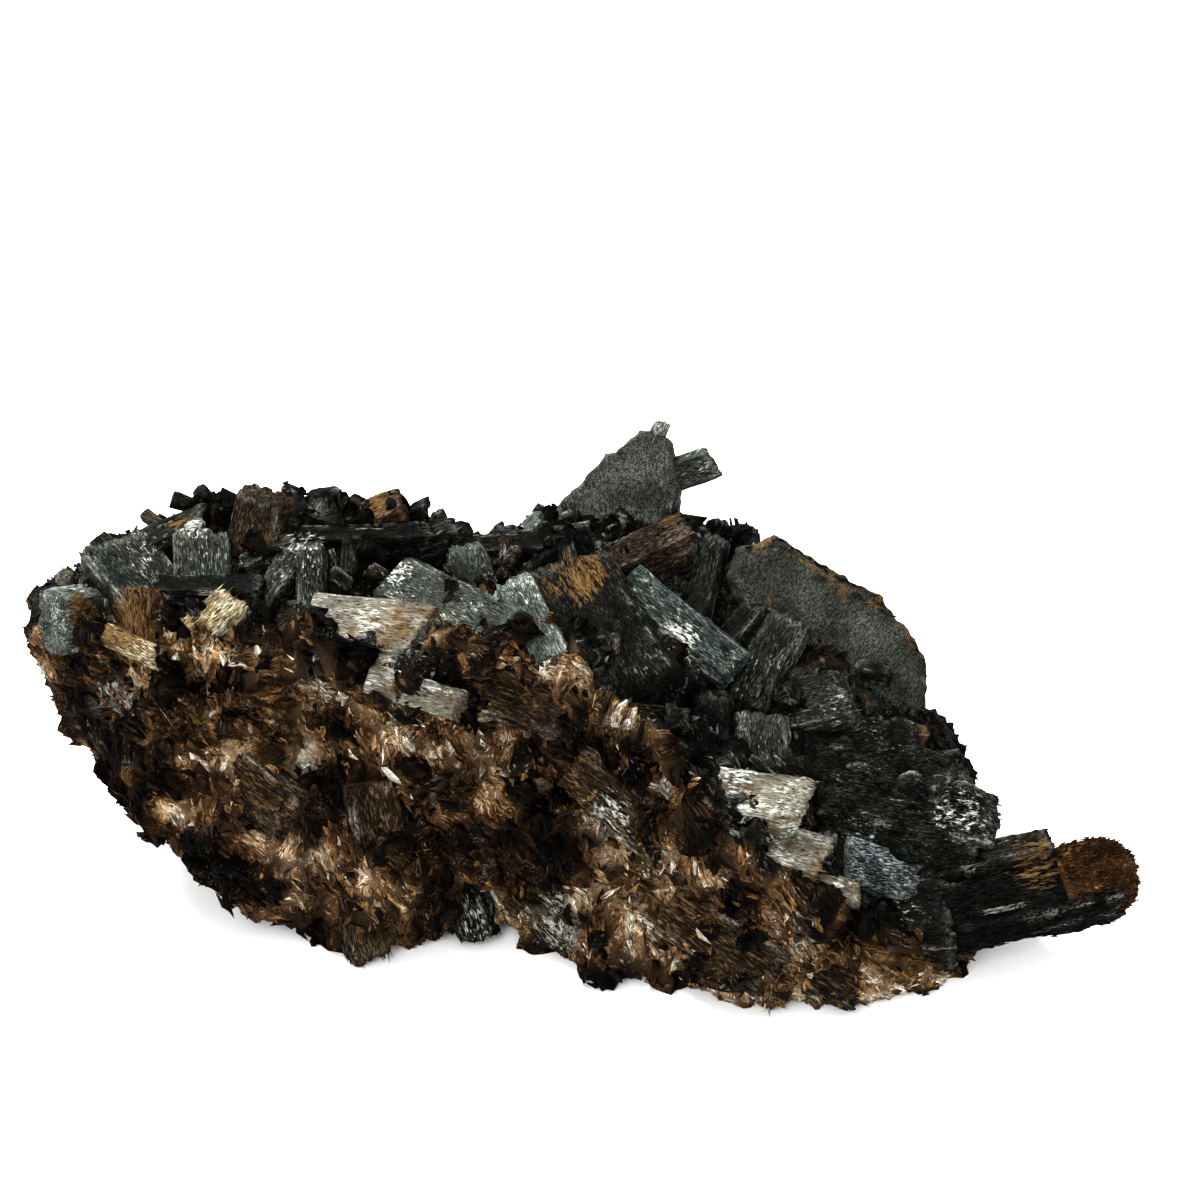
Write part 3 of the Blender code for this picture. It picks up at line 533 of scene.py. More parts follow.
def clothe(bodies, rng, hosts, length, width, lift, stray):
    """Fibres on crystals, from the stone's own colour to its streaks and its crusts."""
    place, up, along, stone, streak, marks = (np.concatenate(column) for column in zip(*hosts))
    value = rng.normal(0.0, 0.5, len(place)) + 0.3 * marks[:, 0]
    colour = mix(stone * 0.5, stone * 1.5, smooth((value + 1) / 1.2)[:, None])
    colour = mix(colour, streak, smooth((value - 0.35) / 0.6)[:, None])
    colour = crust_over(rng, colour, marks, 0.25, (0.35, 1.15))
    add_fibres(bodies, rng, place, up, along, colour, length, width, lift, stray)


# Prisms from this width on have eight sides, and narrower ones have six
EIGHT_SIDED_WIDTH = 8.0


def add_crystal(bodies, row, detail=1.0, end_break=0.9, round_end=0.0, lumps=0.1, hosts=None,
                density=0.42):
    """A striated prism with stepped faces, worn edges and a splintered end."""
    rng = random.Random(row.name)
    foot, axis, length, across, normal = crystal_axes(row)
    half = np.array((row.width / 2, row.thickness / 2))
    chamfer = rng.uniform(0.12, 0.3)
    if row.width < EIGHT_SIDED_WIDTH:
        corners = ((1, 0.1), (0.7, 1), (-0.7, 1), (-1, -0.1), (-0.7, -1), (0.7, -1))
    else:
        corners = (
            (1, 1 - 2 * chamfer), (1 - chamfer, 1), (chamfer - 1, 1), (-1, 1 - 2 * chamfer),
            (-1, 2 * chamfer - 1), (chamfer - 1, -1), (1 - chamfer, -1), (1, 2 * chamfer - 1),
        )
    slant_w, slant_t = rng.uniform(-0.25, 0.25), rng.uniform(-0.3, 0.3)
    wobbles = np.array([(rng.uniform(0.95, 1.05), rng.uniform(0.95, 1.05)) for _ in range(3)])
    flat, outward, to_corner = resample(np.array(corners) * half, CRYSTAL_STEP / detail)
    count = max(5, round(length / RING_SPACING * detail))
    t = np.linspace(0, 1, count + 1)
    knots = (0, 0.9, 1)
    scale = np.interp(t, knots, (0.97, 1.0, 0.94))
    if round_end:
        near = np.clip((t - 1 + round_end) / round_end, 0, 1)
        scale = scale * np.sqrt(np.maximum(1 - (near * 0.86) ** 2, 0.05))
    grow = np.stack([np.interp(t, knots, wobbles[:, k]) for k in (0, 1)], -1) * scale[:, None]
    slant = np.interp(t, knots, (0, 0.8, 1)) * (0 if round_end else 1)
    cap_rings = max(2, round(min(half) / (0.6 / detail)))
    shrink = np.linspace(1, 0, cap_rings + 1)[1:-1]
    place = np.concatenate([t, np.ones(len(shrink))])
    grow = np.concatenate([grow, grow[-1] * shrink[:, None]])
    slant = np.concatenate([slant, np.full(len(shrink), slant[-1])])
    section = flat[None] * grow[:, None]
    along = np.broadcast_to((place * length)[:, None], section.shape[:2])
    offset = rng.uniform(0, 500)
    grain = np.dstack([section, along]) + offset
    groove = soft_noise(grain / (0.6, 0.6, 6.0), 1) * 0.08 + soft_noise(grain / (1.1, 1.1, 8.0), 2) * 0.10
    ledge, _ = cells(grain / (1.7, 1.7, 7.0), 3)
    bite = layered(grain / (2.0, 2.0, 2.8), 3, 4)
    depth = groove - 0.15 - 0.35 * ledge - 0.12 * (0.6 + bite) - 0.7 * smooth((bite - 0.38) / 0.3)
    depth = depth + lumps * layered(grain / 4.0, 2, 9) * 2.0
    depth = depth - 0.15 * bell(to_corner, 0.6)[None]
    splinter, _ = cells(grain * (1, 1, 0), 5)
    end = smooth((place - 0.8) / 0.2)[:, None] * -end_break * splinter ** 1.5
    end = end + smooth((place - 0.9) / 0.1)[:, None] * layered(grain / 1.2, 3, 6) * 0.5
    fade = np.concatenate([np.ones(count + 1), shrink])[:, None]
    section = section + outward[None] * (depth * fade)[..., None]
    lean = slant[:, None] * (section[..., 0] * slant_w + section[..., 1] * slant_t)
    points = foot + axis * (along + lean + end)[..., None]
    points = points + across * section[..., :1] + normal * section[..., 1:]
    rows, columns = points.shape[:2]
    skin = SKINS[row.skin]
    edge = np.exp(-to_corner / 0.35)[None] * smooth(soft_noise(grain / 2.5, 8) * 1.5 + 0.35)
    rim = np.exp(-((1 - place) * length / 0.6))[:, None] * (place < 1)[:, None]
    wear = np.maximum(edge, rim).ravel()
    flat_points, flat_grain = points.reshape(-1, 3), grain.reshape(-1, 3)
    ends = [foot, points[-1].mean(0)]
    solid = np.concatenate([flat_points, ends])
    grain_ends = [grain[0].mean(0), grain[-1].mean(0)]
    faces = closed_faces(rows, columns)
    if np.dot(np.cross(across, normal), axis) < 0:
        faces = faces[:, ::-1]
    seed = rng.randrange(1000)
    stone, streak = skin_colours(solid, skin, seed)
    marks = crust_marks(solid, skin.white, skin.rust, np.concatenate([wear, (0, 0)]))
    bodies.add(solid, faces, stone, streak, np.concatenate([flat_grain, grain_ends]), marks)
    if hosts is not None:
        pick = np.random.default_rng(seed)
        amount = round((row.width + row.thickness) * 2 * length * density)
        i, j = pick.integers(1, count, amount), pick.integers(0, columns, amount)
        here = i * columns + j
        there = (i + 1) * columns + (j + 1) % columns
        t = pick.random((amount, 1))
        up = across * outward[j, :1] + normal * outward[j, 1:]
        hosts.append(Hosts(mix(solid[here], solid[there], t), up, np.broadcast_to(axis, up.shape),
                           stone[here], streak[here], marks[here]))


def add_slivers(bodies, row, count, hosts=None):
    """Narrow blades half sunk in the prism's faces, parallel to it, as it grew or split."""
    rng = random.Random(row.name + "_slivers")
    foot, axis, length, across, normal = crystal_axes(row)
    for i in range(count):
        width = rng.uniform(1.0, 2.4)
        thickness = rng.uniform(0.7, 1.3)
        size = rng.uniform(0.25, 0.7) * length
        start = rng.uniform(0.08, 1.0) * (length - size)
        angle = rng.choice((0, 0, 1, 2, 3)) * math.pi / 2
        if angle in (0, math.pi):
            place = normal * (row.thickness / 2 - 0.75) * math.cos(angle)
            place = place + across * rng.uniform(-0.36, 0.36) * row.width
        else:
            place = across * (row.width / 2 - 0.8) * math.sin(angle)
            place = place + normal * rng.uniform(-0.3, 0.3) * row.thickness
        begin = foot + axis * start + place
        roll = row.roll + math.degrees(angle) + rng.uniform(-12, 12)
        tilt = across * rng.uniform(-0.06, 0.06) + normal * rng.uniform(-0.02, 0.04)
        stop = begin + (axis + tilt) * size
        sliver = Crystal(f"{row.name}_{i}", tuple(begin), tuple(stop), width, thickness, roll, row.skin)
        add_crystal(bodies, sliver, detail=0.8, end_break=1.2, hosts=hosts)


def station_at(x):
    """The rock's cross-section at x, between the two stations on either side of it."""
    x = min(max(x, STATIONS[0].x), STATIONS[-1].x)
    for left, right in zip(STATIONS, STATIONS[1:]):
        if x <= right.x:
            t = (x - left.x) / (right.x - left.x)
            return Station(*(mix(a, b, t) for a, b in zip(left, right)))
    return STATIONS[-1]


def rock_section(s):
    """Corners of the rock's cross-section, as in the CAD source."""
    hollow = 2.6 * math.exp(-(((s.x + 50.0) / 13.0) ** 2)) + 0.8
    ground = 1.6 if s.foot_z < 1.0 and s.heel_z < 1.0 else 0.0
    return np.array((
        (s.foot_y, s.foot_z),
        (mix(s.foot_y, s.ridge_y, 0.2) - 1.8, mix(s.foot_z, s.ridge_z, 0.28)),
        (mix(s.foot_y, s.ridge_y, 0.5) + 0.4, mix(s.foot_z, s.ridge_z, 0.58)),
        (mix(s.foot_y, s.ridge_y, 0.85) + hollow, mix(s.foot_z, s.ridge_z, 0.84)),
        (s.ridge_y - 1.2, s.ridge_z),
        (s.ridge_y + 1.5, s.ridge_z + 1.8),
        (mix(s.ridge_y, s.crest_y, 0.4), mix(s.ridge_z, s.crest_z, 0.4) - 1),
        (mix(s.ridge_y, s.crest_y, 0.8), mix(s.ridge_z, s.crest_z, 0.8) - 1),
        (s.crest_y, s.crest_z - 1.6),
        (mix(s.crest_y, s.back_y, 0.55), mix(s.crest_z, s.heel_z, 0.12) - 1),
        (s.back_y + 1.5, mix(s.crest_z, s.heel_z, 0.42)),
        (s.back_y, mix(s.crest_z, s.heel_z, 0.88)),
        (s.back_y - 4, s.heel_z - ground),
        (mix(s.foot_y, s.back_y, 0.55), mix(s.foot_z, s.heel_z, 0.5) - ground),
        (mix(s.foot_y, s.back_y, 0.2), mix(s.foot_z, s.heel_z, 0.2) - ground),
    ))


CAP_RINGS, CAP_BULGE = 16, 3.3


def rock_rings():
    """Rings of points around the rock, end caps included, and where each is around it."""
    middle = rock_section(station_at(0.0))
    edges = np.linalg.norm(np.roll(middle, -1, axis=0) - middle, axis=1)
    around = []
    for i, size in enumerate(edges):
        step = ROCK_STEP if i < 9 else ROCK_BACK_STEP
        count = max(2, round(size / step))
        around += [i + k / count for k in range(count)]
    around = np.array(around)
    i = around.astype(int)
    f = (around - i)[:, None]
    rings = []
    for x in np.arange(STATIONS[0].x, STATIONS[-1].x + 0.01, ROCK_STEP):
        corners = rock_section(station_at(x))
        flat = corners[i] * (1 - f) + corners[(i + 1) % len(corners)] * f
        rings.append(np.column_stack([np.full(len(around), x), flat]))
    caps = ([], [])
    for cap, ring, outward in ((caps[0], rings[0], -1), (caps[1], rings[-1], 1)):
        centre = ring.mean(0)
        for k in range(1, CAP_RINGS):
            t = k / CAP_RINGS
            bulge = np.array((outward * CAP_BULGE * min(1.0, t / 0.4), 0, 0))
            cap.append(centre + (ring - centre) * (1 - t) + bulge)
    return np.array(caps[0][::-1] + rings + caps[1]), around


def ring_normals(rings):
    """Outward directions of a grid of rings whose rows are closed."""
    around = np.roll(rings, -1, axis=1) - np.roll(rings, 1, axis=1)
    along = np.gradient(rings, axis=0)
    return unit(np.cross(around, along))


def rock_push(points):
    """The rock's lumps and ledges at each point, as in the CAD source."""
    push = np.empty(len(points))
    for n, (x, y, z) in enumerate(points):
        point = Vector((x, y, z))
        _, corners = noise.voronoi(point / 7.5)
        push[n] = noise.fractal(point / 15.0, 0.9, 2.1, 3) * 1.7 + noise.cell(corners[0] * 9.7) * 1.8 - 0.9
    return push


# Fibres on the rock run down to the right, give or take, and each patch of them is curved
PATCH_SIZE = 11.0
CHIP_SIZE = 3.0
FIBRE_ANGLE = math.radians(-55)
FIBRE_SPREAD = math.radians(50)
FIBRE_SWAY = math.radians(60)
Field = namedtuple("Field", "number along across run")


def fibre_field(points, normals, size, seed):
    """The patch each point is in: its number, its fibres' direction, and place across and along."""
    sway = np.stack([soft_noise(points / (0.4 * size), seed + k) for k in range(3)], -1)
    number, middle = cells(points / size + 0.3 * sway, seed + 5)
    level = unit(np.cross(np.array((0.0, 0.0, 1.0)), normals) + np.array((0.02, 0.0, 0.0)))
    level = level * np.sign(level[..., :1] + 1e-6)
    upward = unit(np.cross(normals, level))
    upward = upward * np.sign(upward[..., 2:] + 1e-6)
    angle = FIBRE_ANGLE + layered(points / 16.0, 2, 57) * FIBRE_SWAY
    angle = (angle + (another(number, 17.31) - 0.5) * FIBRE_SPREAD)[..., None]
    along = level * np.cos(angle) + upward * np.sin(angle)
    side = upward * np.cos(angle) - level * np.sin(angle)
    offset = points - middle * size
    run = np.clip((offset * along).sum(-1), -size, size)
    curve = (another(number, 13.7) - 0.5) * 0.8 / size
    across = (offset * side).sum(-1) + curve * run ** 2
    along = unit(along - side * (2 * curve * run)[..., None])
    return Field(number, along, across, run)


def relief(field, size):
    """Height of a patch: how far it stands out, how it tilts, and its ridges."""
    number = field.number
    height = (another(number, 53.9) - 0.5) * 0.22 * size
    height = height + (another(number, 29.3) - 0.5) * 0.45 * field.run
    height = height + (another(number, 41.9) - 0.5) * 0.55 * field.across
    fine = np.stack([field.across / 0.9, number * 91, field.run / 5.0], -1)
    broad = np.stack([field.across / 2.2, number * 37, field.run / 9.0], -1)
    ridges = soft_noise(fine, 77) * 0.28 + (0.5 - np.abs(soft_noise(broad, 78))) * 0.07 * size
    return np.clip(height, -0.2 * size, 0.2 * size) + ridges


# Clefts and swellings of the brown face: place along X, half width, and how far they go in
CLEFTS = ((-24.5, 2.4, 5.0), (-32.0, 4.0, -1.8))
CLEFT_FOOT, CLEFT_TOP = 8, 36
PATCH_RELIEF, CHIP_RELIEF, PIT_DEPTH = 1.1, 0.7, 2.8


def rock_surface():
    """The rock's skin: points, outward directions, share of dark bed, and height of relief."""
    rings, around = rock_rings()
    x, y, z = rings[..., 0], rings[..., 1], rings[..., 2]
    on_face = (y < -10) & (z > CLEFT_FOOT) & (z < CLEFT_TOP)
    fade = np.sin(np.pi * (z - CLEFT_FOOT) / (CLEFT_TOP - CLEFT_FOOT)) * on_face
    rings[..., 1] += sum(depth * bell(x - at, width) for at, width, depth in CLEFTS) * fade
    normals = ring_normals(rings)
    flat = rings.reshape(-1, 3)
    push = rock_push(flat).reshape(x.shape)
    calm = np.array([min(1.0, (s.ridge_z - s.foot_z) / 28.0) for s in map(station_at, rings[:, 0, 0])])
    rings = rings + normals * (push * calm[:, None])[..., None]
    normals = ring_normals(rings)
    height = relief(fibre_field(rings, normals, PATCH_SIZE, 31), PATCH_SIZE) * PATCH_RELIEF
    height = height + relief(fibre_field(rings, normals, CHIP_SIZE, 131), CHIP_SIZE) * CHIP_RELIEF
    pits = smooth((layered(rings / 5.5, 3, 37) - 0.12) / 0.3)
    by_ridge = bell(around - 4.4, 0.8) * mix(1.0, -1.4, smooth((x + 58) / 12))
    by_ridge = by_ridge * (1 - bell(x + 12, 10))
    height = (height - PIT_DEPTH * pits - 0.1) * (0.35 + 0.65 * calm[:, None]) + by_ridge
    rings = rings + normals * height[..., None]
    rings[..., 2] = np.maximum(rings[..., 2], 0.0)
    first, last = BED_CORNERS
    ragged = layered(rings / 3.0, 3, 39) * 0.3
    start = first + mix(1.0, 0.4, smooth((x + 50) / 25)) + 1.7 * bell(x + 15, 9)
    is_bed = smooth((around - start + ragged) / 0.25) * smooth((last + 0.1 - around) / 0.2)
    return rings, ring_normals(rings), is_bed, height


# How far noise spreads the rock's tones, their middle, and how much lighter each millimetre of relief is
# painted: painted shade in the pits, painted light on the raised tips
TONE_SPREAD, TONE_BASE, RELIEF_LIGHT_AND_SHADE = 1.9, 0.38, 0.50


def rock_value(points, number, height, bed):
    """How light the rock is painted at each point, from -1 in its pits to 2 on its palest tips, with
    painted shade deepening in the pits, painted light on raised relief, and painted shade over the left of
    the rock.
    """
    value = TONE_SPREAD * layered(points / 5.0, 3, 71) + (another(number, 61.7) - 0.5) * 0.8
    # Lighter towards the right of the rock: painted shade over the left part of the face
    value = value + 0.25 * smooth((points[..., 0] + 15) / 40) + TONE_BASE
    # Painted light and shade: higher relief is painted lighter, the pits darker
    return value + RELIEF_LIGHT_AND_SHADE * height * (1 - 0.5 * bed)


def rock_colours(value, bed):
    bed = bed[..., None]
    return ramp_colours(BROWN_RAMP, value) * (1 - bed) + ramp_colours(DARK_RAMP, value) * bed


def make_rock(material):
    rings, normals, bed, height = rock_surface()
    rows, columns = rings.shape[:2]
    field = fibre_field(rings, normals, PATCH_SIZE, 31)
    value = rock_value(rings, field.number, height, bed)
    stone, streak = rock_colours(value - 0.6, bed), rock_colours(value + 0.55, bed)
    grain = np.stack([field.across, field.number * GRAIN_RANGE, field.run], -1)
    ends = [rings[0].mean(0), rings[-1].mean(0)]
    points = np.concatenate([rings.reshape(-1, 3), ends])

    def with_ends(values):
        return np.concatenate([values.reshape(-1, 3), values[0, :1], values[-1, :1]])

    marks = crust_marks(points, ROCK_WHITE, ROCK_RUST, 0.0)
    bodies = Bodies()
    bodies.add(points, closed_faces(rows, columns)[:, ::-1], with_ends(stone), with_ends(streak),
               with_ends(grain), marks)
    return bodies.build("rock", material), (rings, normals, bed, height)


def scatter(rng, surface, weight, count):
    """Random places on the rock's skin, as likely as the weight of the cell they are in."""
    rings, normals, bed, height = surface
    here, below = rings[:-1], rings[1:]
    beside, across = np.roll(here, -1, axis=1), np.roll(below, -1, axis=1)
    area = np.linalg.norm(np.cross(below - here, beside - here), axis=-1) * weight[:-1]
    chosen = rng.choice(area.size, size=count, p=(area / area.sum()).ravel())
    i, j = np.unravel_index(chosen, area.shape)
    here, below, beside, across = here[i, j], below[i, j], beside[i, j], across[i, j]
    u, v = rng.random((2, count, 1))
    lower = here + (below - here) * u + (across - below) * v
    upper = here + (beside - here) * v + (across - beside) * u
    return np.where(u > v, lower, upper), normals[i, j], bed[i, j], height[i, j]


def cover_rock(bodies, rng, surface, weight, count, contrast, add, *shape):
    """Fibres or chips all over the part of the rock that has weight, coloured as the rock is."""
    place, up, bed, height = scatter(rng, surface, weight, count)
    small = fibre_field(place, up, CHIP_SIZE, 131)
    large = fibre_field(place, up, PATCH_SIZE, 31)
    along = unit(large.along + small.along * 0.12)
    value = rock_value(place, large.number, height, bed) + rng.normal(0.05, contrast, count)
    colour = rock_colours(value, bed)
    marks = crust_marks(place, ROCK_WHITE, ROCK_RUST, 0.0)
    colour = crust_over(rng, colour, marks, 0.2, (0.35, 1.25))
    add(bodies, rng, place, up, along, colour, *shape)


def make_cover(material, surface):
    """Chips and fibres of the brown face, of the back and underside, and of the dark bed."""
    rings, normals, bed, _ = surface
    rng = np.random.default_rng(SEED)
    above = rings[..., 2] > 0.3
    facing = np.clip(0.3 - normals[..., 1], 0, 1) * (1 - bed) * above
    away = (1 - bed) * (normals[..., 1] > -0.1) * above
    # Weight, count, contrast, kind, length, width, height or lift, tilt or stray
    plan = (
        ("front_chips", ((facing, 12500, 0.42, add_shards, (0.6, 2.6), (0.14, 0.55), (0.15, 0.5), 0.22),
                         (facing, 2500, 0.35, add_shards, (1.6, 3.8), (0.35, 0.9), (0.2, 0.6), 0.15))),
        ("front_fibres", ((facing, 23000, 0.80, add_fibres, (0.5, 2.4), (0.07, 0.17), 0.25, 0.1),)),
        ("rear_chips", ((away, 3000, 0.4, add_shards, (1.5, 5.0), (0.4, 1.5), (0.3, 0.9), 0.2),
                        (away, 3000, 0.6, add_fibres, (1.2, 4.0), (0.2, 0.5), 0.3, 0.1))),
        ("bed_chips", ((bed * above, 4200, 0.5, add_shards, (0.8, 2.6), (0.3, 1.0), (0.2, 0.6), 0.25),)),
    )
    pieces = []
    for name, layers in plan:
        bodies = Bodies()
        for weight, count, contrast, add, *shape in layers:
            cover_rock(bodies, rng, surface, weight, count, contrast, add, *shape)
        pieces.append(bodies.build(name, material, is_smooth=False))
    return pieces


# The fan's prisms are lumpier and more fibrous than the others
FAN_SHAPE = {"lumps": 1.0, "density": 1.0}
FILLER_COUNT = 250
FILLER_LENGTH, FILLER_WIDTH, FILLER_RISE = (3, 7.5), (1.4, 4.0), 0.35
FILLER_SKINS = {"black": 0.45, "dark": 0.27, "green": 0.1, "brown": 0.12, "grey": 0.06}


def small_prisms(rng, surface):
    """Rows of the short prisms that fill the bed between the large crystals."""
    rows = []
    place, up, _, _ = scatter(rng, surface, surface[2], FILLER_COUNT)
    along = fibre_field(place, up, 9.0, 231).along
    for i in range(len(place)):
        size, width = rng.uniform(*FILLER_LENGTH), rng.uniform(*FILLER_WIDTH)
        lean = unit(along[i] + up[i] * rng.uniform(-0.1, 0.45) + rng.normal(0, 0.35, 3))
        lean = unit(np.minimum(lean, (1, 1, FILLER_RISE)))
        foot = place[i] - lean * size * 0.5 + up[i] * 0.4
        skin = rng.choice(list(FILLER_SKINS), p=list(FILLER_SKINS.values()))
        rows.append(Crystal(f"filler_{i}", tuple(foot), tuple(foot + lean * size), width,
                            width * rng.uniform(0.6, 0.9), rng.uniform(0, 90), str(skin)))
    return rows


def make_crystals(material, fibre, surface):
    """The placed crystals with their slivers and fibres, and the fillers, as pieces."""
    zones = {"crystals_left": (-200, -38), "crystals_middle": (-38, 4), "crystals_right": (4, 200)}
    pieces, hosts = [], []
    for name, (low, high) in zones.items():
        bodies = Bodies()
        for row in CRYSTALS:
            if low <= (row.foot[0] + row.tip[0]) / 2 < high:
                shape = FAN_SHAPE if row.name.startswith("fan") else {}
                add_crystal(bodies, row, hosts=hosts, **shape)
                add_slivers(bodies, row, 2 if row.width < 7 else 3, hosts)
        pieces.append(bodies.build(name, material))
    fillers = Bodies()
    for row in small_prisms(np.random.default_rng(SEED + 1), surface):
        add_crystal(fillers, row, detail=0.8, end_break=0.3, lumps=0.3, hosts=hosts, density=0.3)
    pieces.append(fillers.build("crystal_fillers", material))
    fibres = Bodies()
    clothe(fibres, np.random.default_rng(SEED + 2), hosts, (0.8, 3.2), (0.10, 0.28), 0.08, 0.06)
    pieces.append(fibres.build("crystal_fibres", fibre, is_smooth=False))
    return pieces


def make_ledges(material, fibre):
    bodies, fibres, hosts = Bodies(), Bodies(), []
    for row in ROCK_PIECES:
        add_crystal(bodies, row, end_break=1.6, lumps=0.8, hosts=hosts, density=1.1)
        add_slivers(bodies, row, 3, hosts)
    clothe(fibres, np.random.default_rng(SEED + 3), hosts, (1.0, 4.0), (0.12, 0.34), 0.2, 0.10)
    return bodies.build("rock_ledges", material), fibres.build("ledge_fibres", fibre, is_smooth=False)


def add_plate(bodies, plate, skin, rusty_edge, lift=0.0):
    """A fine-grained plate: its outline chipped, its faces gently uneven."""
    middle, across, up, normal = plate_axes(plate)
    middle = middle + normal * lift

    def lay(flat, depth):
        return middle + flat[:, :1] * across + flat[:, 1:] * up - normal * depth * plate.thickness

    outline, outward, _ = resample(np.array(plate.outline, float), PLATE_STEP)
    if np.cross(outline, np.roll(outline, -1, axis=0)).sum() < 0:
        outward = -outward
    centre = outline.mean(0)
    inset = np.linspace(0, 1, 22)
    sides = [(1 - k, 0.0) for k in inset[::-1]] + [(1.0, d) for d in (0.15, 0.35, 0.55, 0.75, 0.9)]
    sides += [(1 - k, 1.0) for k in inset]
    rings, rust, shade = [], [], []
    for size, depth in sides:
        size = max(size, 0.004)
        rim = math.sin(math.pi * depth) * 0.35
        flat = centre + (outline - centre) * size
        solid = lay(flat, depth)
        chip = layered(solid / 1.4, 3, 15) * 0.8 - 0.45 + rim
        flat = flat + outward * (chip * smooth((size - 0.85) / 0.15))[:, None]
        solid = lay(flat, depth)
        ledge, _ = cells(solid / 7.0 + layered(solid / 2.0, 2, 18)[:, None] * 0.2, 17)
        uneven = layered(solid / 1.8, 3, 16) * 0.30 + ledge * 0.45 - 0.4
        from_edge = np.linalg.norm(outline - centre, axis=1) * (1 - size)
        near = bell(from_edge, 2.6) * smooth((outward[:, 1] - 0.2) / 0.4) * rusty_edge
        crack = near * smooth((layered(solid / 1.5, 2, 19) + 0.02) / 0.2)
        uneven = uneven - crack * 0.9
        rust.append(near * (1 - crack))
        # Cracks are sunk and painted darker: painted shade in the cracks
        shade.append(1 - 0.85 * crack)
        face = 1 if depth < 0.5 else -1
        rings.append(solid + normal * face * (uneven * (abs(depth - 0.5) > 0.49))[:, None])
    rings = np.array(rings)
    points = np.concatenate([rings.reshape(-1, 3), [rings[0].mean(0), rings[-1].mean(0)]])
    faces = closed_faces(*rings.shape[:2])
    a, b, c = (points[faces[:, k]] - middle for k in range(3))
    if (a * np.cross(b, c)).sum() < 0:
        faces = faces[:, ::-1]
    rust, shade = (np.concatenate([*values, (values[0][0], values[-1][0])]) for values in (rust, shade))
    # The plate's colours carry the painted shade of its cracks
    stone, streak = (colour * shade[:, None] for colour in skin_colours(points, SKINS[skin], 5))
    marks = crust_marks(points, SKINS[skin].white, SKINS[skin].rust, 0.0)
    marks[:, 2] = np.maximum(marks[:, 2], rust)
    grain = np.stack([(points - middle) @ across, (points - middle) @ normal, (points - middle) @ up], -1)
    bodies.add(points, faces, stone, streak, grain, marks)


def make_plates(name, material, *plates):
    bodies = Bodies()
    for plate in plates:
        add_plate(bodies, *plate)
    return bodies.build(name, material)


def make_slab_crystals(material):
    bodies = Bodies()
    add_crystal(bodies, TWIN, detail=1.3)
    add_crystal(bodies, SLAB_NUB, detail=1.6)
    return bodies.build("slab_crystals", material)


def make_tipped_prism(material, fibre):
    bodies, fibres, hosts, tip_hosts = Bodies(), Bodies(), [], []
    rng = np.random.default_rng(SEED + 4)
    add_crystal(bodies, TIPPED_PRISM, end_break=2.0, lumps=0.6, hosts=hosts, density=2.0)
    add_slivers(bodies, TIPPED_PRISM, 8, hosts)
    add_crystal(bodies, TIP_STUB, detail=1.3, end_break=0.6, round_end=0.5, lumps=0.5,
                hosts=tip_hosts, density=5.5)
    clothe(fibres, rng, hosts, (0.8, 3.4), (0.10, 0.30), 0.2, 0.10)
    clothe(fibres, rng, tip_hosts, (0.8, 2.2), (0.12, 0.34), 0.5, 0.6)
    return bodies.build("tipped_prism", material), fibres.build("tip_fibres", fibre, is_smooth=False)


# Crusts: the mark that calls for them, their dark and light colours, and their noise's stretch
CRUSTS = (
    ("Y", ((0.12, 0.125, 0.105, 1), (0.56, 0.57, 0.5, 1)), (1.6, 1.6, 0.9)),
    ("Z", ((0.024, 0.013, 0.0052, 1), (0.125, 0.076, 0.031, 1)), (1.1, 1.1, 0.3)),
)
# The first colour is painted shade for the pits of the streaks; the second is a stain colour
PIT_SHADE_COLOUR, STAIN_COLOUR = (0.0014, 0.0014, 0.0013, 1), (0.0026, 0.0022, 0.0017, 1)
WORN_COLOUR = (0.5, 0.5, 0.46, 1)


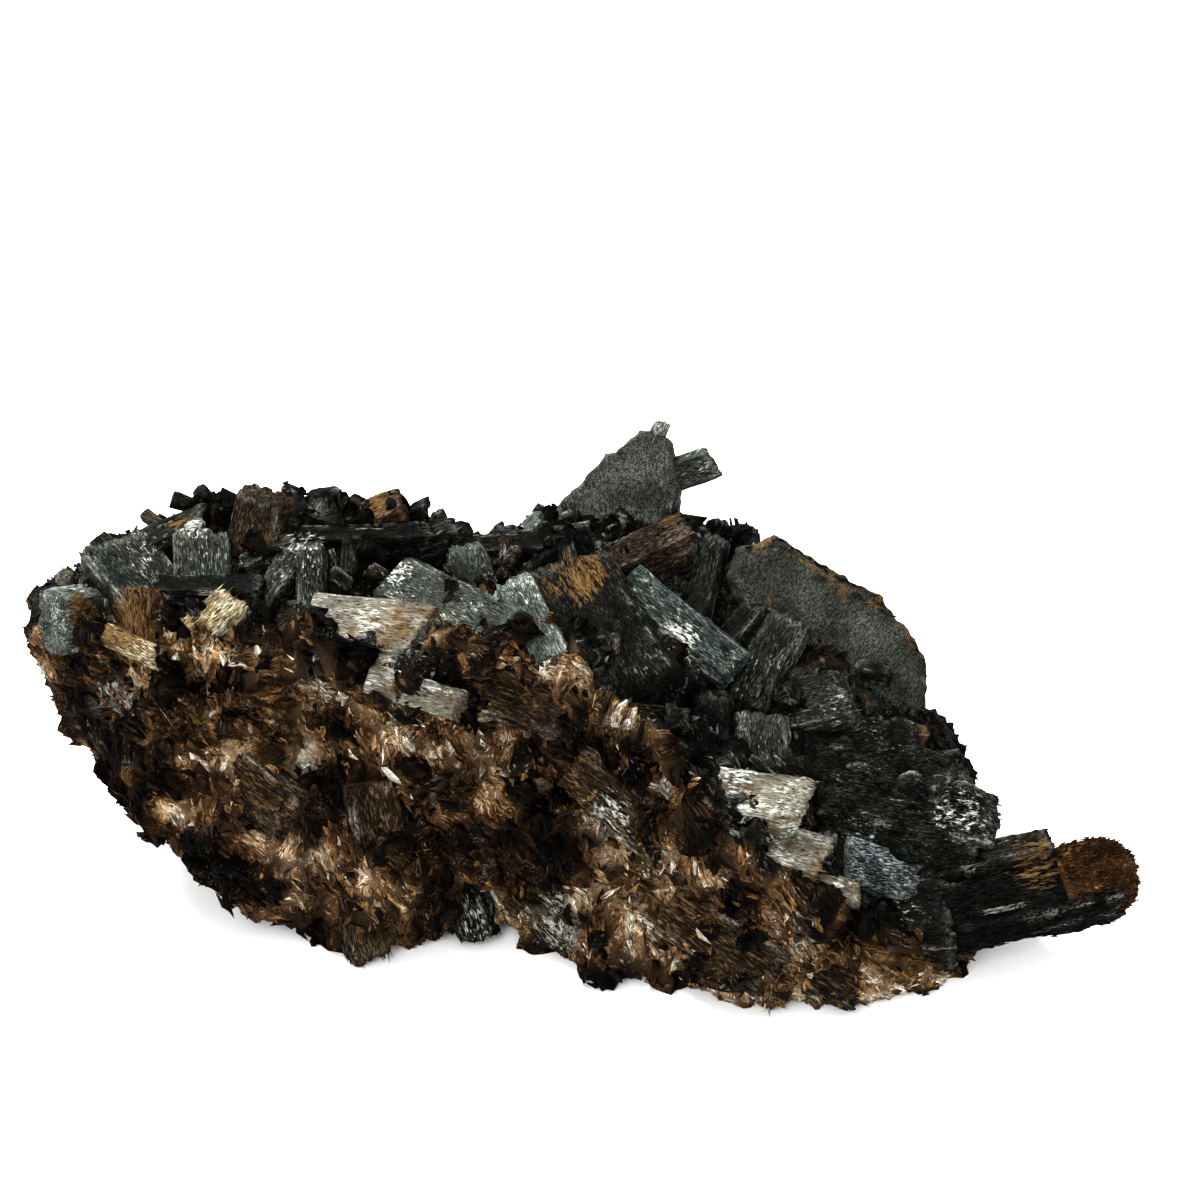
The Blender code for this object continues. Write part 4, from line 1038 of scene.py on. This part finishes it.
class Shader:
    """A material's node tree, with short ways to add the nodes that the materials need."""

    def __init__(self, name, roughness, gloss):
        self.material = bpy.data.materials.new(name)
        self.material.use_nodes = True
        self.tree = self.material.node_tree
        self.surface = self.tree.nodes["Principled BSDF"].inputs
        self.put(roughness, "Roughness")
        self.put(gloss, "Specular IOR Level")

    def put(self, value, socket):
        """Link a node's output to a socket, or set a plain value on it."""
        if isinstance(socket, str):
            socket = self.surface[socket]
        if isinstance(value, bpy.types.NodeSocket):
            self.tree.links.new(value, socket)
        else:
            socket.default_value = value

    def node(self, kind, inputs, **settings):
        made = self.tree.nodes.new("ShaderNode" + kind)
        for key, value in settings.items():
            setattr(made, key, value)
        for key, value in inputs.items():
            self.put(value, made.inputs[key])
        return made.outputs

    def attribute(self, name, output="Vector"):
        return self.node("Attribute", {}, attribute_name=name, attribute_type="GEOMETRY")[output]

    def corner_values(self):
        """What the mesh's corners say: grain, colours of stone and streaks, and marks."""
        stone, streak = (self.attribute(name, "Color") for name in ("stone", "streak"))
        marks = self.node("SeparateXYZ", {0: self.attribute("marks")})
        return self.attribute("grain"), stone, streak, marks

    def noise(self, vector, stretch, detail, roughness=0.6):
        """Noise over coordinates in millimetres, drawn out by the stretch along each axis."""
        scaled = self.node("VectorMath", {0: vector, 1: stretch}, operation="MULTIPLY")[0]
        values = {"Vector": scaled, "Scale": 1.0, "Detail": detail, "Roughness": roughness}
        return self.node("TexNoise", values)["Fac"]

    def spread(self, value, low, high, to_low=0.0, to_high=1.0):
        values = {"Value": value, "From Min": low, "From Max": high, "To Min": to_low, "To Max": to_high}
        return self.node("MapRange", values, interpolation_type="SMOOTHSTEP")["Result"]

    def math(self, operation, first, second):
        return self.node("Math", {0: first, 1: second}, operation=operation)[0]

    def times(self, first, second):
        return self.math("MULTIPLY", first, second)

    def plus(self, first, second):
        return self.math("ADD", first, second)

    def blend(self, amount, first, second):
        inputs = {0: amount, 6: first, 7: second}
        return self.node("Mix", inputs, data_type="RGBA", clamp_factor=True)[2]

    def bump(self, height, depth):
        raised = self.node("Bump", {"Height": height, "Strength": 1.0, "Distance": depth * MM})
        self.put(raised["Normal"], "Normal")

    def crusts(self, colour, marks, grain, fine):
        """White and rusty crust where the marks call for them, ragged and broken by the grain."""
        for mark, colours, stretch in CRUSTS:
            share = marks[mark]
            ragged = self.plus(self.times(fine, 0.38), self.noise(grain, stretch, 6.0, 0.66))
            level = self.plus(ragged, self.times(share, 0.36))
            pale = self.times(self.spread(fine, 0.35, 0.65), self.spread(share, 0.1, 0.6, 0.4, 1.0))
            cover = self.times(self.spread(level, 0.81, 0.96), self.spread(share, 0.02, 0.2))
            colour = self.blend(cover, colour, self.blend(pale, *colours))
        return colour


def striated_material(name, across, along, roughness, depth, gloss, crusts=True):
    """Stone drawn in fine broken streaks along its grain, paler on worn edges, with painted shade in its
    pits.
    """
    shader = Shader(name, 0.5, gloss)
    grain, stone, streak, marks = shader.corner_values()
    fine = shader.noise(grain, (across, across, along), 2.0)
    hair = shader.noise(grain, (across * 0.5, across * 0.5, along * 0.8), 2.0)
    broad = shader.noise(grain, (0.5, 0.5, 0.22), 4.0, 0.65)
    speck = shader.noise(grain, (2.4, 2.4, 1.5), 4.0, 0.75)
    streaks = shader.times(shader.spread(fine, 0.50, 0.64), shader.spread(broad, 0.36, 0.62, 0.1, 1.0))
    amount = shader.math("MAXIMUM", streaks, shader.spread(hair, 0.56, 0.70, 0.0, 0.7))
    amount = shader.times(amount, shader.spread(speck, 0.34, 0.52, 0.15, 1.0))
    colour = shader.blend(amount, stone, streak)
    # Painted shade: the pits, where the bump sinks lowest, are painted near black
    pit_shade = shader.spread(fine, 0.36, 0.44, 0.85, 0.0)
    colour = shader.blend(pit_shade, colour, PIT_SHADE_COLOUR)
    stain = shader.spread(shader.noise(grain, (0.8, 0.8, 0.45), 6.0, 0.72), 0.55, 0.66, 0.0, 0.85)
    colour = shader.blend(stain, colour, STAIN_COLOUR)
    worn = shader.times(marks["X"], shader.spread(speck, 0.42, 0.58))
    colour = shader.blend(worn, colour, shader.blend(0.3, streak, WORN_COLOUR))
    if crusts:
        colour = shader.crusts(colour, marks, grain, fine)
    shader.put(colour, "Base Color")
    shader.put(shader.spread(broad, 0.3, 0.7, *roughness), "Roughness")
    shader.bump(shader.plus(fine, shader.times(speck, 0.5)), depth)
    return shader.material


def plate_material():
    """The dull grey-green plates: fine felted grains with a faint diagonal lay."""
    shader = Shader("fine_plate", 0.62, 0.06)
    grain, stone, streak, marks = shader.corner_values()
    laid = shader.noise(grain, (4.4, 4.4, 1.5), 3.0, 0.7)
    felt = shader.times(laid, shader.noise(grain, (2.2, 4.6, 5.4), 3.0, 0.7))
    colour = shader.blend(shader.spread(felt, 0.20, 0.34), stone, streak)
    colour = shader.blend(shader.spread(felt, 0.22, 0.14, 0.0, 0.85), colour, (0.006, 0.007, 0.0065, 1))
    shader.put(shader.crusts(colour, marks, grain, laid), "Base Color")
    shader.bump(felt, 0.4)
    return shader.material


def floor_material():
    shader = Shader("pale_paper", 0.9, 0.2)
    place = shader.node("TexCoord", {})["Object"]
    fibre = shader.node("TexNoise", {"Vector": place, "Scale": 900.0, "Detail": 3.0})["Fac"]
    shader.put(shader.blend(fibre, (0.88, 0.88, 0.88, 1), (0.92, 0.92, 0.92, 1)), "Base Color")
    return shader.material


FLOOR_REACH = 3.0
SKY_STRENGTH = 1.45
# Lights: name, direction from the specimen, distance, width and power
LIGHTS = (("key", (-0.5, 0.35, 1.0), 1.2, 0.5, 32.0), ("fill", (-0.5, -1.0, 0.9), 1.4, 0.6, 8.0))
LIGHT_TARGET = Vector((0.0, 0.0, 0.025))


def add_object(name, data):
    made = bpy.data.objects.new(name, data)
    bpy.context.scene.collection.objects.link(made)
    return made


def make_floor():
    mesh = bpy.data.meshes.new("floor")
    corners = [(x * FLOOR_REACH, y * FLOOR_REACH, 0) for x, y in ((-1, -1), (1, -1), (1, 1), (-1, 1))]
    mesh.from_pydata(corners, [], [(0, 1, 2, 3)])
    mesh.materials.append(floor_material())
    add_object("floor", mesh)


def light_scene():
    world = bpy.data.worlds.new("studio")
    world.use_nodes = True
    shade = world.node_tree.nodes["Background"].inputs
    shade["Color"].default_value = (1.0, 1.0, 1.0, 1.0)
    shade["Strength"].default_value = SKY_STRENGTH
    bpy.context.scene.world = world
    for name, direction, distance, width, power in LIGHTS:
        lamp = bpy.data.lights.new(name, "AREA")
        lamp.shape, lamp.size, lamp.energy = "DISK", width, power
        holder = add_object(name, lamp)
        toward = Vector(direction).normalized()
        holder.location = LIGHT_TARGET + toward * distance
        holder.rotation_euler = toward.to_track_quat("Z", "Y").to_euler()
    view = bpy.context.scene.view_settings
    view.view_transform = "Standard"
    view.look = "Medium High Contrast"


CAMERA_TILT = math.radians(32.0)
CAMERA_DISTANCE = 0.450
CAMERA_TARGET = Vector((0.0, 0.0, 0.0453))
CAMERA_LENS = 88.8


def make_camera():
    data = bpy.data.cameras.new("camera")
    data.sensor_width = 36.0
    data.lens = CAMERA_LENS
    data.clip_start = 0.01
    camera = add_object("camera", data)
    look = Vector((0.0, math.cos(CAMERA_TILT), -math.sin(CAMERA_TILT)))
    target = CAMERA_TARGET + Vector(SHIFT * MM)
    camera.location = target - look * CAMERA_DISTANCE
    camera.rotation_euler = look.to_track_quat("-Z", "Y").to_euler()
    bpy.context.scene.camera = camera


def mount(node, slot, *pieces):
    for piece in pieces:
        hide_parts(node)
        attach(piece, "root")


def main():
    crystal = striated_material("striated_crystal", 6.4, 0.95, (0.45, 0.7), 0.13, 0.02)
    stone = striated_material("fibrous_rock", 5.0, 0.80, (0.6, 0.9), 0.30, 0.03)
    fibre = striated_material("fibres", 5.0, 0.8, (0.5, 0.8), 0.1, 0.04, crusts=False)
    plate = plate_material()
    rock, surface = make_rock(stone)
    mount("matrix", "rusty_matrix", rock, *make_ledges(stone, fibre))
    *brown, dark = make_cover(fibre, surface)
    mount("matrix", "rusty_matrix", *brown)
    mount("crystal_cluster", "dark_amphibole", dark, *make_crystals(crystal, fibre, surface))
    slab = make_plates("slab", plate, (SLAB, "pale_plate", 0.25))
    mount("leaning_slab", "grey_slab", slab, make_slab_crystals(crystal))
    layer = (BLADE_LAYER, "plate", 0.85, -LAYER_DEPTH)
    mount("broad_blade", "grey_blade", make_plates("blade", plate, (BLADE, "plate", 0.7), layer))
    mount("rust_tipped_prism", "rust_tipped", *make_tipped_prism(crystal, fibre))
    make_floor()
    light_scene()
    make_camera()


main()
